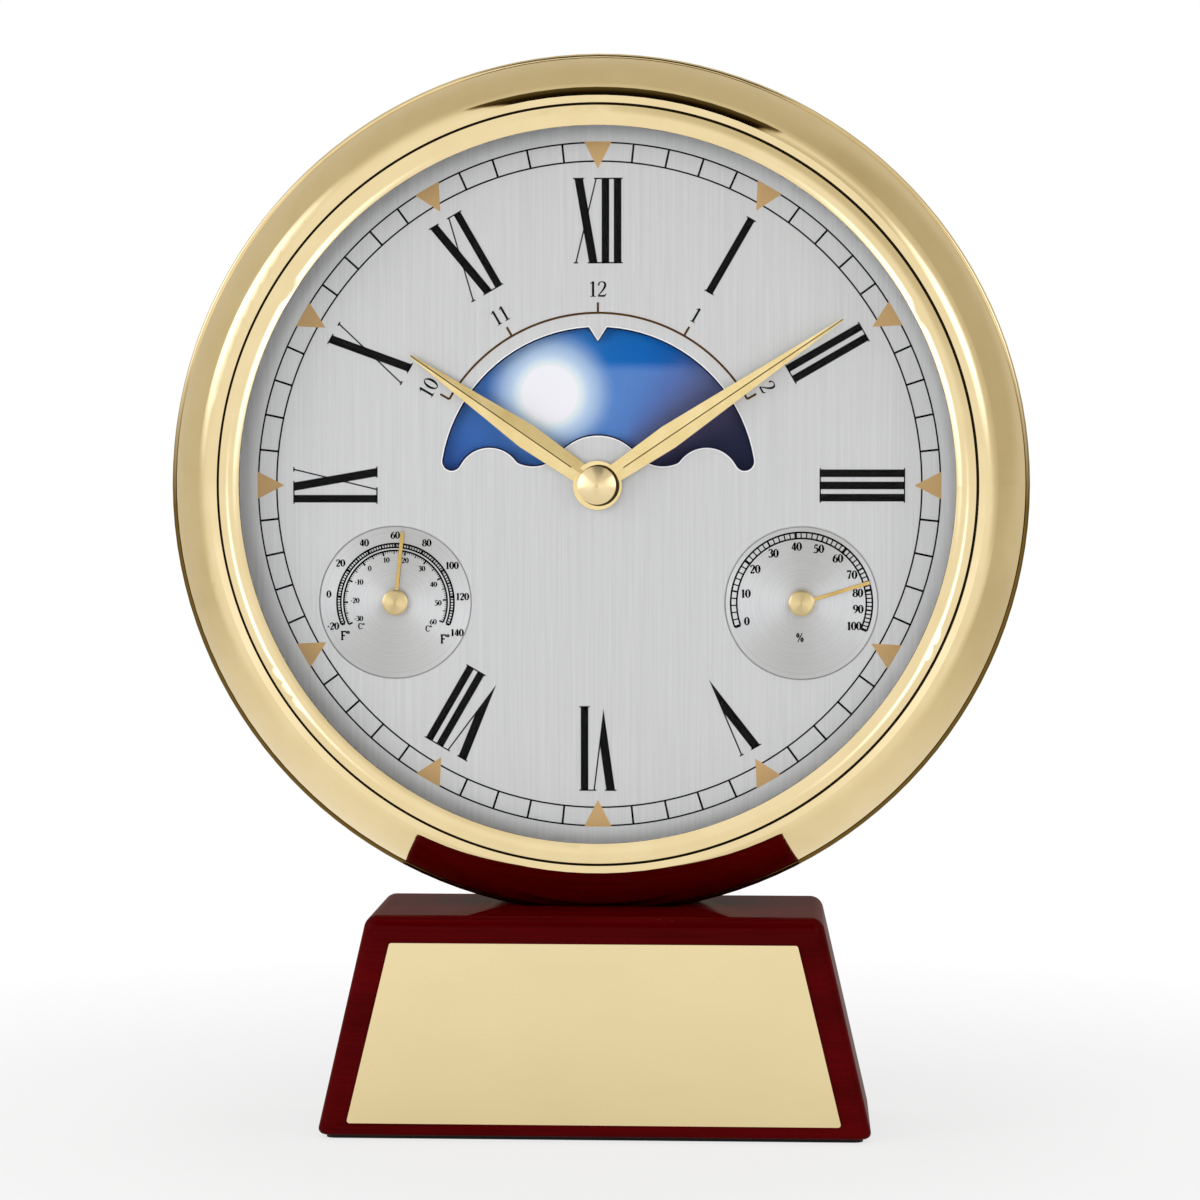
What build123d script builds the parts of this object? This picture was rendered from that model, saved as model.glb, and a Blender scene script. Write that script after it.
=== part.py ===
"""Moon phase desk clock: a round gilt head with dial, gauges and movement, on a wood base."""
import os
from math import acos, atan2, cos, degrees, hypot, pi, radians, sin, sqrt, tan

from build123d import *

os.makedirs("parts", exist_ok=True)

# Millimetres. The front is -Y, up is +Z, and the felt stands on z = 0.

# Base
base_bottom_w = 121.0
base_top_w = 99.0
base_h = 48.0
base_d = 45.0
base_edge_r = 3.0
base_foot_r = 1.2
felt_t = 0.8
felt_inset = 2.0
felt_corner_r = 2.0
saddle_deep = 1.9
saddle_front_gap = 3.0
name_plate_top_margin = 6.56
name_plate_bottom_margin = 6.09
name_plate_h = 39.4
name_plate_t = 0.6
name_plate_drop = 5.7
name_plate_corner_r = 0.6

# Fixing of the head to the base
base_screw_spread = 24.0
base_screw_r = 1.95
base_screw_head_r = 3.6
base_screw_head_h = 2.6
base_screw_hole_gap = 0.25
base_bore_r = 5.0
base_bore_deep = 30.0
washer_r = 4.5
washer_t = 0.8
clamp_w = 36.0
clamp_d = 10.0
clamp_h = 5.2

# Head case
head_r = 95.25
drum_wall = 1.5
drum_web_t = 1.5
drum_web_lap = 1.5
seat_w = 5.6
seat_t = 1.8
skirt_gap = 0.05
skirt_w = 2.35
bezel_set_in = 0.85
bezel_w = 11.0
bezel_wall = 2.0
bezel_cave_deep = 2.5
glass_rise = 6.5
glass_t = 2.0
glass_shelf_w = 2.0
ledge_lip = 0.2
ledge_w = 1.6
shoulder_r = 6.2
shoulder_lean = 16.0
ring_w = 4.4
ring_edge_h = 1.2
ring_rise = 1.5
ring_foot_w = 0.9
ring_foot_deep = 1.3
groove_w = 0.6
groove_deep = 1.6
fixing_count = 4
bezel_boss_r = 2.0
bezel_boss_gap = 0.6
bezel_boss_h = 4.6
bezel_screw_r = 1.0
bezel_screw_head_h = 1.2
cover_t = 1.5
cover_set_back = 0.3
cover_gap = 0.1
cover_boss_r = 3.0
cover_boss_bite = 0.5
cover_screw_r = 1.2
cover_screw_head_r = 2.6
cover_screw_head_h = 1.4
cover_screw_bite = 8.0
window_gap = 0.3

# Dial and moon aperture
dial_front = -2.0
dial_t = 1.2
dial_tuck = 2.2
aperture_r = 34.9
aperture_hub_r = 11.0
aperture_hub_half = 7.9
notch_half = 2.0
notch_deep = 3.1
lobe_r = 2.25
hump_x = 24.0
hump_y = 1.0
hump_r = 7.3
dimple_x = 13.7
dimple_y = 4.2

# Hands
hour_turn = -55.33
minute_turn = 56.0
hour_len = 50.2
minute_len = 65.0
hour_hand_w = 5.6
minute_hand_w = 5.4
hour_belly = 19.0
minute_belly = 19.0
hour_root_w = 4.2
minute_root_w = 3.6
hour_tip_w = 0.5
minute_tip_w = 0.5
hour_eye_r = 5.4
minute_eye_r = 3.6
hand_t = 1.0
hand_edge_t = 0.4
eye_t = 0.8
hour_hand_rise = 1.4
minute_hand_gap = 0.8
cap_r = 4.2
cap_h = 1.5
cap_rim_h = 0.5

# Fits
run_gap = 0.04
push_gap = 0.02
air = 0.4

# Thicknesses of the movement's layers
moon_gap = 0.5
moon_t = 0.8
wheel_t = 0.8
plate_t = 1.2
bridge_t = 1.0
magnet_t = 1.8
stator_t = 1.0

# Teeth
pressure = radians(25)
tooth_rise = 0.75
tooth_sink = 1.05
tooth_fill = 0.8

# Arbors
minute_arbor_r = 1.5
hour_pipe_wall = 0.75
bush_wall = 1.0
set_arbor_r = 1.0
post_r = 0.45
post_end = 0.2

# Motion works
motion_module = 0.5
cannon_teeth = 12
minute_teeth = 36
minute_pinion_teeth = 10
hour_teeth = 40

# Moon works
moon_r = 37.0
moon_teeth = 118
moon_pinion_teeth = 12
moon_hour_teeth = 12
reduction_teeth = 36
reduction_dir = 70.0
reduction_pinion_teeth = 12
idler_teeth = 30
drive_teeth = 48
idler_post_r = 1.0
plate_rim = 6.2

# Going train
train_module = 0.3
centre_teeth = 60
third_teeth = 64
second_teeth = 40
intermediate_teeth = 60
leaf_teeth = 8
intermediate_leaf_teeth = 10
third_dir = 60.0
second_dir = 20.0
intermediate_dir = 160.0
rotor_dir = 180.0
magnet_r = 2.6

# Movement case
case_w = 56.0
case_wall = 1.4
case_corner_r = 2.0
case_boss_r = 2.4
case_boss_root = 0.6
case_screw_r = 0.9
case_screw_head_r = 1.8
case_screw_len = 8.0
rear_air = 0.5
bay_top = -11.9
bay_floor_t = 0.8
bridge_half_w = 20.5
bridge_low = -8.5
bridge_high = 21.0
bridge_corner_r = 3.0
pillar_r = 1.6
pillar_inset = 2.0
foot_r = 2.5
foot_clear = 6.0
foot_turns = (40, 160, 200, 320)
foot_screw_r = 0.9
foot_screw_head_r = 2.2
foot_screw_head_h = 1.2

# Electric pieces
coil_len = 16.0
coil_r = 2.4
coil_core_h = 2.4
coil_flange_t = 0.8
coil_neck = 0.35
stator_gap = 0.4
stator_left = -20.0
stator_right = 3.5
stator_low = 11.5
stator_band = 7.2
stator_arm_w = 3.0
coil_rise = 8.1
stator_boss_r = 1.2
board_w = 9.6
board_h = 7.0
board_t = 1.2
board_lift = 0.9
board_x = 15.4
board_z = -4.8
board_boss_r = 1.0
board_boss_spread = 6.0
crystal_r = 1.0
crystal_len = 6.0
battery_r = 7.25
battery_len = 49.5
battery_nub_r = 2.75
battery_nub_len = 1.0
contact_t = 0.5
contact_w = 10.0
contact_dimple_r = 2.6

# Knobs
time_knob_r = 5.0
moon_knob_r = 4.0
knob_h = 3.4
flute_r = 0.6
flute_count = 16

# Gauges
gauge_ring_r = 51.9
gauge_angle = 120.0
gauge_r = 16.9
gauge_rim_gap = 0.1
recess_deep = 0.8
scale_t = 0.4
flange_t = 0.3
flange_inset = 0.2
cup_r = 13.5
cup_wall = 0.6
cup_deep = 10.0
cup_back_t = 0.8
cup_boss_r = 1.6
cup_boss_h = 2.0
cup_play = 0.1
spindle_r = 0.5
scale_hole_gap = 0.3
strip_t = 0.3
strip_w = 3.0
strip_start_r = 2.2
strip_halves = 11
pointer_len = 15.7
pointer_w = 0.8
pointer_t = 0.25
pointer_lift = 0.4
pointer_hub_r = 2.84
pointer_hub_h = 0.6
thermometer_reading = 6.0
hygrometer_reading = 73.0

# Heights and depths that follow from the sizes above
base_top_z = felt_t + base_h
head_z = base_top_z - saddle_deep + head_r
dial_back = dial_front + dial_t
lip_y = dial_back + seat_t
glass_back = dial_front - glass_rise
glass_front = glass_back - glass_t
ledge_y = glass_front - ledge_lip
moon_front = dial_back + moon_gap
moon_back = moon_front + moon_t
drive_front = moon_back + air
drive_back = drive_front + wheel_t
plate_front = drive_back + air
plate_back = plate_front + plate_t
reduction_front = plate_back + air
reduction_back = reduction_front + wheel_t
hour_front = reduction_back + air
hour_back = hour_front + wheel_t
minute_front = hour_back + air
minute_back = minute_front + wheel_t
bridge_front = minute_back + air
bridge_back = bridge_front + bridge_t
centre_front = bridge_back + air
centre_back = centre_front + wheel_t
third_front = centre_back + air
third_back = third_front + wheel_t
second_front = third_back + air
second_back = second_front + wheel_t
intermediate_front = second_back + air
intermediate_back = intermediate_front + wheel_t
magnet_front = intermediate_back + air
magnet_back = magnet_front + magnet_t
stator_back = (magnet_front + magnet_back + stator_t) / 2
coil_y = stator_back - stator_t / 2
chamber_back = coil_y + coil_r + rear_air
case_back = chamber_back + case_wall
cover_back = case_back + cover_set_back
cover_front = cover_back - cover_t
hour_hand_back = dial_front - hour_hand_rise
hour_hand_front = hour_hand_back - hand_t
minute_hand_back = hour_hand_front - minute_hand_gap
minute_hand_front = minute_hand_back - hand_t

# Widths and radii that follow
base_lean = (base_bottom_w - base_top_w) / base_h
name_plate_top_w = base_top_w + base_lean * name_plate_drop - 2 * name_plate_top_margin
name_plate_low = name_plate_drop + name_plate_h
name_plate_bottom_w = base_top_w + base_lean * name_plate_low - 2 * name_plate_bottom_margin
bezel_r = head_r - bezel_set_in
skirt_r = bezel_r - skirt_w
seat_r = skirt_r - skirt_gap
web_r = seat_r - drum_web_lap
bore_r = bezel_r - bezel_w
ring_r = bore_r - groove_w
ring_bore_r = ring_r - ring_w
dial_r = bore_r + dial_tuck
seat_bore_r = dial_r - seat_w
shelf_r = bore_r - glass_shelf_w
glass_r = bore_r - ring_foot_w - groove_w / 2
drum_in_r = head_r - drum_wall
fixing_ring_r = dial_r + bezel_boss_gap + bezel_boss_r
cover_ring_r = drum_in_r - cover_boss_r + cover_boss_bite
hour_bore_r = minute_arbor_r + run_gap
hour_pipe_r = hour_bore_r + hour_pipe_wall
bush_bore_r = hour_pipe_r + run_gap
bush_r = bush_bore_r + bush_wall
chamber_half = case_w / 2 - case_wall
foot_ring_r = moon_r + foot_clear


def ahead(start, length, direction):
    """Point at a length and direction in degrees from a start point of the movement."""
    return (start[0] + length * cos(radians(direction)), start[1] + length * sin(radians(direction)))


def heading(start, goal):
    """Direction in degrees from one point of the movement to another."""
    return degrees(atan2(goal[1] - start[1], goal[0] - start[0]))


def clock_point(radius, turn):
    """Point on the dial at a radius and an angle clockwise from twelve."""
    return (radius * sin(radians(turn)), radius * cos(radians(turn)))


def facing(depth, at=(0, 0), turn=0):
    """Plane that faces the front at a depth, about a point of the dial, turned clockwise."""
    right = (cos(radians(turn)), 0, -sin(radians(turn)))
    return Plane(origin=(at[0], depth, head_z + at[1]), x_dir=right, z_dir=(0, -1, 0))


def involute(angle):
    """Involute function of an angle in radians."""
    return tan(angle) - angle


def gear(module, teeth, toward, gap=False):
    """Gear outline with a tooth, or a gap, centred on the direction of its mate."""
    pitch_r = module * teeth / 2
    tip_r = pitch_r + tooth_rise * module
    root_r = pitch_r - tooth_sink * module
    base_r = pitch_r * cos(pressure)
    at_base = tooth_fill * pi / (2 * teeth) + involute(pressure)
    at_tip = at_base - involute(acos(base_r / tip_r))
    at_root = at_base - involute(acos(min(1, base_r / root_r)))
    start = radians(toward) + (pi / teeth if gap else 0)
    corners = []
    for tooth in range(teeth):
        middle = start + 2 * pi * tooth / teeth
        for radius, side in ((root_r, -at_root), (tip_r, -at_tip), (tip_r, at_tip), (root_r, at_root)):
            corners.append((radius * cos(middle + side), radius * sin(middle + side)))
    with BuildSketch() as outline:
        with BuildLine():
            Polyline(*corners, close=True)
        make_face()
    return outline.sketch


def trapezoid(bottom_w, top_w, low, high):
    """Upright symmetric trapezoid between two heights."""
    with BuildSketch() as outline:
        with BuildLine():
            Polyline((-bottom_w / 2, low), (bottom_w / 2, low), (top_w / 2, high), (-top_w / 2, high), close=True)
        make_face()
    return outline.sketch


def save(piece, name):
    """Label a piece and write its file."""
    piece.part.label = name
    export_step(piece.part, f"parts/{name}.step")


front_view = Plane(origin=(0, 0, 0), x_dir=(1, 0, 0), z_dir=(0, -1, 0))
half_section = Plane(origin=(0, 0, head_z), x_dir=(1, 0, 0), z_dir=(0, 0, 1))
head_axis = Axis((0, 0, head_z), (0, 1, 0))

# Places on the dial and in the movement, as right and up from the head's axis
hub = (0, 0)
minute_spot = (-motion_module * (cannon_teeth + minute_teeth) / 2, 0)
hour_module = 2 * abs(minute_spot[0]) / (minute_pinion_teeth + hour_teeth)
moon_module = 2 * moon_r / moon_teeth
moon_spot = (0, moon_module * (moon_teeth + moon_pinion_teeth) / 2)
reduction_spot = ahead(hub, motion_module * (moon_hour_teeth + reduction_teeth) / 2, reduction_dir)
chain_len = hypot(moon_spot[0] - reduction_spot[0], moon_spot[1] - reduction_spot[1])
chain_module = 2 * chain_len / (reduction_pinion_teeth + 2 * idler_teeth + drive_teeth)
chain_dir = heading(reduction_spot, moon_spot)
idler_spot = ahead(reduction_spot, chain_module * (reduction_pinion_teeth + idler_teeth) / 2, chain_dir)
third_spot = ahead(hub, train_module * (centre_teeth + leaf_teeth) / 2, third_dir)
second_spot = ahead(third_spot, train_module * (third_teeth + leaf_teeth) / 2, second_dir)
intermediate_reach = train_module * (second_teeth + intermediate_leaf_teeth) / 2
intermediate_spot = ahead(second_spot, intermediate_reach, intermediate_dir)
rotor_spot = ahead(intermediate_spot, train_module * (intermediate_teeth + leaf_teeth) / 2, rotor_dir)
boss_x = chamber_half - case_boss_r + case_boss_root
boss_low = bay_top + case_wall + case_boss_r - case_boss_root
case_bosses = ((-boss_x, boss_x), (boss_x, boss_x), (-boss_x, boss_low), (boss_x, boss_low))
foot_spots = [clock_point(foot_ring_r, turn) for turn in foot_turns]
gauge_spots = {
    "thermometer": clock_point(gauge_ring_r, -gauge_angle),
    "hygrometer": clock_point(gauge_ring_r, gauge_angle),
}
base_screw_y = (lip_y + cover_back) / 2
base_screw_spots = ((-base_screw_spread / 2, base_screw_y), (base_screw_spread / 2, base_screw_y))

# Wood base with a saddle for the drum and bores for two screws
with BuildPart() as wood_base:
    with BuildSketch(front_view):
        add(trapezoid(base_bottom_w, base_top_w, felt_t, base_top_z))
    extrude(amount=base_d / 2, both=True)
    base_edges = wood_base.edges().filter_by(lambda e: e.center().Z > base_h / 4)
    fillet(base_edges, radius=base_edge_r)
    fillet(wood_base.faces().sort_by(Axis.Z)[0].edges(), radius=base_foot_r)
    with BuildSketch(facing(base_d)):
        Circle(head_r)
    extrude(amount=base_d - lip_y + saddle_front_gap, mode=Mode.SUBTRACT)
    with BuildSketch(Plane.XY.offset(felt_t)):
        with Locations(*base_screw_spots):
            Circle(base_bore_r)
    extrude(amount=base_bore_deep, mode=Mode.SUBTRACT)
    with BuildSketch(Plane.XY.offset(felt_t)):
        with Locations(*base_screw_spots):
            Circle(base_screw_r + base_screw_hole_gap)
    extrude(amount=base_h, mode=Mode.SUBTRACT)
save(wood_base, "wood_base")

with BuildPart() as base_felt:
    with BuildSketch(Plane.XY):
        RectangleRounded(base_bottom_w - 2 * felt_inset, base_d - 2 * felt_inset, felt_corner_r)
    extrude(amount=felt_t)
save(base_felt, "base_felt")

with BuildPart() as engraving_plate:
    with BuildSketch(Plane(origin=(0, -base_d / 2, 0), x_dir=(1, 0, 0), z_dir=(0, -1, 0))):
        plate_top_z = base_top_z - name_plate_drop
        add(trapezoid(name_plate_bottom_w, name_plate_top_w, plate_top_z - name_plate_h, plate_top_z))
        fillet(vertices(), radius=name_plate_corner_r)
    extrude(amount=name_plate_t)
save(engraving_plate, "engraving_plate")

# Screws and washers from below, and the bar inside the drum that they pull on
shelf_z = felt_t + base_bore_deep
washer_z = shelf_z - washer_t
clamp_top_z = head_z - drum_in_r + clamp_h

with BuildPart() as base_washers:
    with BuildSketch(Plane.XY.offset(washer_z)):
        with Locations(*base_screw_spots):
            Circle(washer_r)
            Circle(base_screw_r + push_gap, mode=Mode.SUBTRACT)
    extrude(amount=washer_t)
save(base_washers, "base_washers")

with BuildPart() as base_screws:
    with BuildSketch(Plane.XY.offset(washer_z)):
        with Locations(*base_screw_spots):
            Circle(base_screw_head_r)
    extrude(amount=-base_screw_head_h)
    with BuildSketch(Plane.XY.offset(washer_z)):
        with Locations(*base_screw_spots):
            Circle(base_screw_r)
    extrude(amount=clamp_top_z - washer_z)
save(base_screws, "base_screws")

with BuildPart() as clamp_bar:
    with BuildSketch(facing(base_screw_y)):
        Circle(drum_in_r)
        with Locations((0, clamp_h / 2 - drum_in_r)):
            Rectangle(clamp_w, clamp_h, mode=Mode.INTERSECT)
    extrude(amount=clamp_d / 2, both=True)
    with BuildSketch(Plane.XY):
        with Locations(*base_screw_spots):
            Circle(base_screw_r + push_gap)
    extrude(amount=head_z, mode=Mode.SUBTRACT)
save(clamp_bar, "clamp_bar")

# Drum with a round front edge, the seat for the dial and bosses for the back cover
with BuildPart() as case_drum:
    with BuildSketch(half_section):
        with BuildLine():
            Polyline((seat_bore_r, dial_back), (seat_r, dial_back), (seat_r, lip_y), (bezel_r, lip_y))
            TangentArc((bezel_r, lip_y), (head_r, lip_y + bezel_set_in), tangent=(1, 0))
            Polyline(
                (head_r, lip_y + bezel_set_in),
                (head_r, cover_back),
                (drum_in_r, cover_back),
                (drum_in_r, lip_y + drum_web_t),
                (web_r, lip_y + drum_web_t),
                (web_r, lip_y),
                (seat_bore_r, lip_y),
                (seat_bore_r, dial_back),
            )
        make_face()
    revolve(axis=head_axis)
    with BuildSketch(facing(cover_front)):
        with PolarLocations(cover_ring_r, fixing_count, start_angle=180 / fixing_count):
            Circle(cover_boss_r)
    extrude(amount=cover_front - lip_y)
    with BuildSketch(facing(cover_front)):
        with PolarLocations(cover_ring_r, fixing_count, start_angle=180 / fixing_count):
            Circle(cover_screw_r + push_gap)
    extrude(amount=cover_screw_bite, mode=Mode.SUBTRACT)
    with BuildSketch(facing(lip_y)):
        with PolarLocations(fixing_ring_r, fixing_count):
            Circle(bezel_screw_r + push_gap)
    extrude(amount=seat_t, mode=Mode.SUBTRACT)
    with BuildSketch(Plane.XY):
        with Locations(*base_screw_spots):
            Circle(base_screw_r + base_screw_hole_gap)
    extrude(amount=clamp_top_z, mode=Mode.SUBTRACT)
save(case_drum, "case_drum")

# Outer bezel: flat ledge, a crease, round shoulder and long flank, hollow behind
shoulder_start = radians(shoulder_lean)
shoulder_end = (
    bore_r + ledge_w + shoulder_r * (sqrt(0.5) - sin(shoulder_start)),
    ledge_y + shoulder_r * (cos(shoulder_start) - sqrt(0.5)),
)
foot_out_r = shelf_r + bezel_wall
roof_y = glass_back + bezel_wall

with BuildPart() as outer_bezel:
    with BuildSketch(half_section):
        with BuildLine():
            Polyline((bore_r, glass_back), (bore_r, ledge_y), (bore_r + ledge_w, ledge_y))
            shoulder_tangent = (cos(shoulder_start), sin(shoulder_start))
            TangentArc((bore_r + ledge_w, ledge_y), shoulder_end, tangent=shoulder_tangent)
            TangentArc(shoulder_end, (bezel_r, lip_y), tangent=(1, 1))
            Polyline(
                (bezel_r, lip_y),
                (skirt_r, lip_y),
                (skirt_r, lip_y - bezel_cave_deep),
                (fixing_ring_r, roof_y),
                (foot_out_r, roof_y),
                (foot_out_r, dial_front),
                (shelf_r, dial_front),
                (shelf_r, glass_back),
                (bore_r, glass_back),
            )
        make_face()
    revolve(axis=head_axis)
    with BuildSketch(facing(dial_back)):
        with PolarLocations(fixing_ring_r, fixing_count):
            Circle(bezel_boss_r)
    extrude(amount=bezel_boss_h)
    with BuildSketch(facing(dial_back)):
        with PolarLocations(fixing_ring_r, fixing_count):
            Circle(bezel_screw_r + push_gap)
    extrude(amount=bezel_boss_h, mode=Mode.SUBTRACT)
save(outer_bezel, "outer_bezel")

with BuildPart() as bezel_screws:
    with BuildSketch(facing(lip_y)):
        with PolarLocations(fixing_ring_r, fixing_count):
            Circle(bezel_boss_r)
    extrude(amount=-bezel_screw_head_h)
    with BuildSketch(facing(lip_y)):
        with PolarLocations(fixing_ring_r, fixing_count):
            Circle(bezel_screw_r)
    extrude(amount=seat_t + bezel_boss_h)
save(bezel_screws, "bezel_screws")

with BuildPart() as glass:
    with BuildSketch(facing(glass_back)):
        Circle(glass_r)
    extrude(amount=glass_t)
save(glass, "glass")

# Inner ring: convex in front, with a thin foot between the glass and the bore
ring_edge_y = glass_front - ring_edge_h
ring_foot_r = bore_r - push_gap

with BuildPart() as inner_ring:
    with BuildSketch(half_section):
        with BuildLine():
            Polyline(
                (ring_bore_r, ring_edge_y),
                (ring_bore_r, glass_front),
                (glass_r + push_gap, glass_front),
                (glass_r + push_gap, glass_front + ring_foot_deep),
                (ring_foot_r, glass_front + ring_foot_deep),
                (ring_foot_r, ring_edge_y + groove_deep),
                (ring_r, ring_edge_y + groove_deep),
                (ring_r, ring_edge_y),
            )
            crest = (ring_bore_r + ring_w / 2, glass_front - ring_rise)
            ThreePointArc((ring_r, ring_edge_y), crest, (ring_bore_r, ring_edge_y))
        make_face()
    revolve(axis=head_axis)
save(inner_ring, "inner_ring")

with BuildPart() as back_cover:
    with BuildSketch(facing(cover_back)):
        Circle(drum_in_r - cover_gap)
        RectangleRounded(case_w + 2 * window_gap, case_w + 2 * window_gap, case_corner_r, mode=Mode.SUBTRACT)
        with Locations(moon_spot):
            Circle(set_arbor_r + run_gap, mode=Mode.SUBTRACT)
        with PolarLocations(cover_ring_r, fixing_count, start_angle=180 / fixing_count):
            Circle(cover_screw_r + push_gap, mode=Mode.SUBTRACT)
    extrude(amount=cover_t)
save(back_cover, "back_cover")

with BuildPart() as cover_screws:
    with BuildSketch(facing(cover_back)):
        with PolarLocations(cover_ring_r, fixing_count, start_angle=180 / fixing_count):
            Circle(cover_screw_head_r)
    extrude(amount=-cover_screw_head_h)
    with BuildSketch(facing(cover_back)):
        with PolarLocations(cover_ring_r, fixing_count, start_angle=180 / fixing_count):
            Circle(cover_screw_r)
    extrude(amount=cover_t + cover_screw_bite)
save(cover_screws, "cover_screws")

# Dial with its winged moon aperture and two stepped recesses for the gauges
hump_out = (-hump_x - hump_r * cos(radians(28)), hump_y + hump_r * sin(radians(28)))
hump_in = (-hump_x + hump_r * cos(radians(33)), hump_y + hump_r * sin(radians(33)))
lobe_top = hump_out[1] + lobe_r / 2
lobe_out = (-sqrt(aperture_r**2 - lobe_top**2), lobe_top)
lobe_low = ((hump_out[0] + lobe_out[0]) / 2 - lobe_r / 4, hump_out[1] - lobe_r / 2)
shoulder_y = sqrt(aperture_r**2 - notch_half**2)
hub_end = (-aperture_hub_half, sqrt(aperture_hub_r**2 - aperture_hub_half**2))
outer_mid = (-aperture_r * sin(radians(45)), aperture_r * cos(radians(45)))
hub_mid = (-aperture_hub_r * sin(radians(20)), aperture_hub_r * cos(radians(20)))

with BuildPart() as dial:
    with BuildSketch(facing(dial_back)):
        Circle(dial_r)
        Circle(bush_r + push_gap, mode=Mode.SUBTRACT)
        with Locations(*gauge_spots.values()):
            Circle(cup_r + cup_play, mode=Mode.SUBTRACT)
    extrude(amount=dial_t)
    with BuildSketch(facing(dial_back)):
        with BuildLine():
            Line((0, shoulder_y - notch_deep), (-notch_half, shoulder_y))
            ThreePointArc((-notch_half, shoulder_y), outer_mid, lobe_out)
            ThreePointArc(lobe_out, lobe_low, hump_out)
            ThreePointArc(hump_out, (-hump_x, hump_y + hump_r), hump_in)
            ThreePointArc(hump_in, (-dimple_x, dimple_y), hub_end)
            ThreePointArc(hub_end, hub_mid, (0, aperture_hub_r))
            mirror(about=Plane.YZ)
        make_face()
    extrude(amount=dial_t, mode=Mode.SUBTRACT)
    with BuildSketch(facing(dial_front)):
        with Locations(*gauge_spots.values()):
            Circle(gauge_r + gauge_rim_gap)
    extrude(amount=-recess_deep, mode=Mode.SUBTRACT)
save(dial, "dial")

with BuildPart() as dial_feet:
    with BuildSketch(facing(plate_front)):
        with Locations(*foot_spots):
            Circle(foot_r)
            Circle(foot_screw_r + push_gap, mode=Mode.SUBTRACT)
    extrude(amount=plate_front - dial_back)
save(dial_feet, "dial_feet")

with BuildPart() as foot_screws:
    with BuildSketch(facing(plate_back)):
        with Locations(*foot_spots):
            Circle(foot_screw_head_r)
    extrude(amount=-foot_screw_head_h)
    with BuildSketch(facing(plate_back)):
        with Locations(*foot_spots):
            Circle(foot_screw_r)
    extrude(amount=plate_back - dial_back)
save(foot_screws, "foot_screws")

# Movement plate with the centre bush and the idler's post
with BuildPart() as movement_plate:
    with BuildSketch(facing(plate_back)):
        Circle(moon_spot[1] + plate_rim)
        with Locations(*gauge_spots.values()):
            Circle(cup_r + 4 * air, mode=Mode.SUBTRACT)
        with Locations(*foot_spots):
            Circle(foot_screw_r + push_gap, mode=Mode.SUBTRACT)
        with Locations(minute_spot, reduction_spot, moon_spot):
            Circle(set_arbor_r + run_gap, mode=Mode.SUBTRACT)
    extrude(amount=plate_t)
    with BuildSketch(facing(plate_back)):
        Circle(bush_r)
    extrude(amount=plate_back - dial_front)
    with BuildSketch(facing(plate_back)):
        Circle(bush_bore_r)
    extrude(amount=plate_back - dial_front, mode=Mode.SUBTRACT)
    with BuildSketch(facing(plate_front, idler_spot)):
        Circle(idler_post_r)
    extrude(amount=plate_front - drive_front)
    with Locations(facing(plate_front)):
        with Locations(*case_bosses):
            CounterSinkHole(case_screw_r + push_gap, case_screw_head_r + push_gap, depth=plate_t)
save(movement_plate, "movement_plate")

with BuildPart() as case_screws:
    for spot in case_bosses:
        with BuildSketch(facing(plate_front, spot)):
            Circle(case_screw_r)
        extrude(amount=-case_screw_len)
        with Locations(facing(plate_front, spot)):
            Cone(0, case_screw_head_r, case_screw_head_r, align=(Align.CENTER, Align.CENTER, Align.MAX))
save(case_screws, "case_screws")

# Movement case: train chamber in front, battery bay open to the back
bay_h = bay_top + chamber_half
bay_z = bay_top - bay_h / 2
chamber_low = bay_top + case_wall
bay_floor = plate_back + bay_floor_t
stator_mid = (stator_left + stator_right) / 2
coil_z = rotor_spot[1] + coil_rise
stator_bosses = (
    (stator_left + stator_arm_w / 2, stator_low + stator_arm_w / 2),
    (stator_right - stator_arm_w / 2, coil_z),
)

with BuildPart() as movement_case:
    with BuildSketch(facing(case_back)):
        RectangleRounded(case_w, case_w, case_corner_r)
    extrude(amount=case_back - plate_back)
    with BuildSketch(facing(chamber_back)):
        with Locations((0, (chamber_half + chamber_low) / 2)):
            Rectangle(2 * chamber_half, chamber_half - chamber_low)
    extrude(amount=chamber_back - plate_back, mode=Mode.SUBTRACT)
    with BuildSketch(facing(case_back)):
        with Locations((0, bay_z)):
            Rectangle(2 * chamber_half, bay_h)
    extrude(amount=case_back - bay_floor, mode=Mode.SUBTRACT)
    with BuildSketch(facing(chamber_back)):
        with Locations(*case_bosses):
            Circle(case_boss_r)
    extrude(amount=chamber_back - plate_back)
    with BuildSketch(facing(plate_back)):
        with Locations(*case_bosses):
            Circle(case_screw_r + push_gap)
    extrude(amount=-case_screw_len, mode=Mode.SUBTRACT)
    with BuildSketch(facing(chamber_back)):
        with Locations(*stator_bosses):
            Circle(stator_boss_r)
    extrude(amount=chamber_back - stator_back)
    with BuildSketch(facing(chamber_back)):
        with Locations(intermediate_spot):
            Circle(post_r)
    extrude(amount=chamber_back - second_front + post_end)
    with BuildSketch(facing(chamber_back)):
        with Locations(rotor_spot):
            Circle(post_r)
    extrude(amount=chamber_back - intermediate_front + post_end)
    with BuildSketch(facing(case_back)):
        with Locations(minute_spot):
            Circle(set_arbor_r + run_gap)
    extrude(amount=case_wall, mode=Mode.SUBTRACT)
save(movement_case, "movement_case")

# Bridge between the motion works and the going train
pillar_x = bridge_half_w - pillar_inset
pillar_high = bridge_high - pillar_inset
bridge_pillars = ((-pillar_x, pillar_high), (pillar_x, pillar_high), (pillar_x, bridge_low + pillar_inset))
board_bosses = ((board_x - board_boss_spread / 2, board_z), (board_x + board_boss_spread / 2, board_z))

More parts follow.
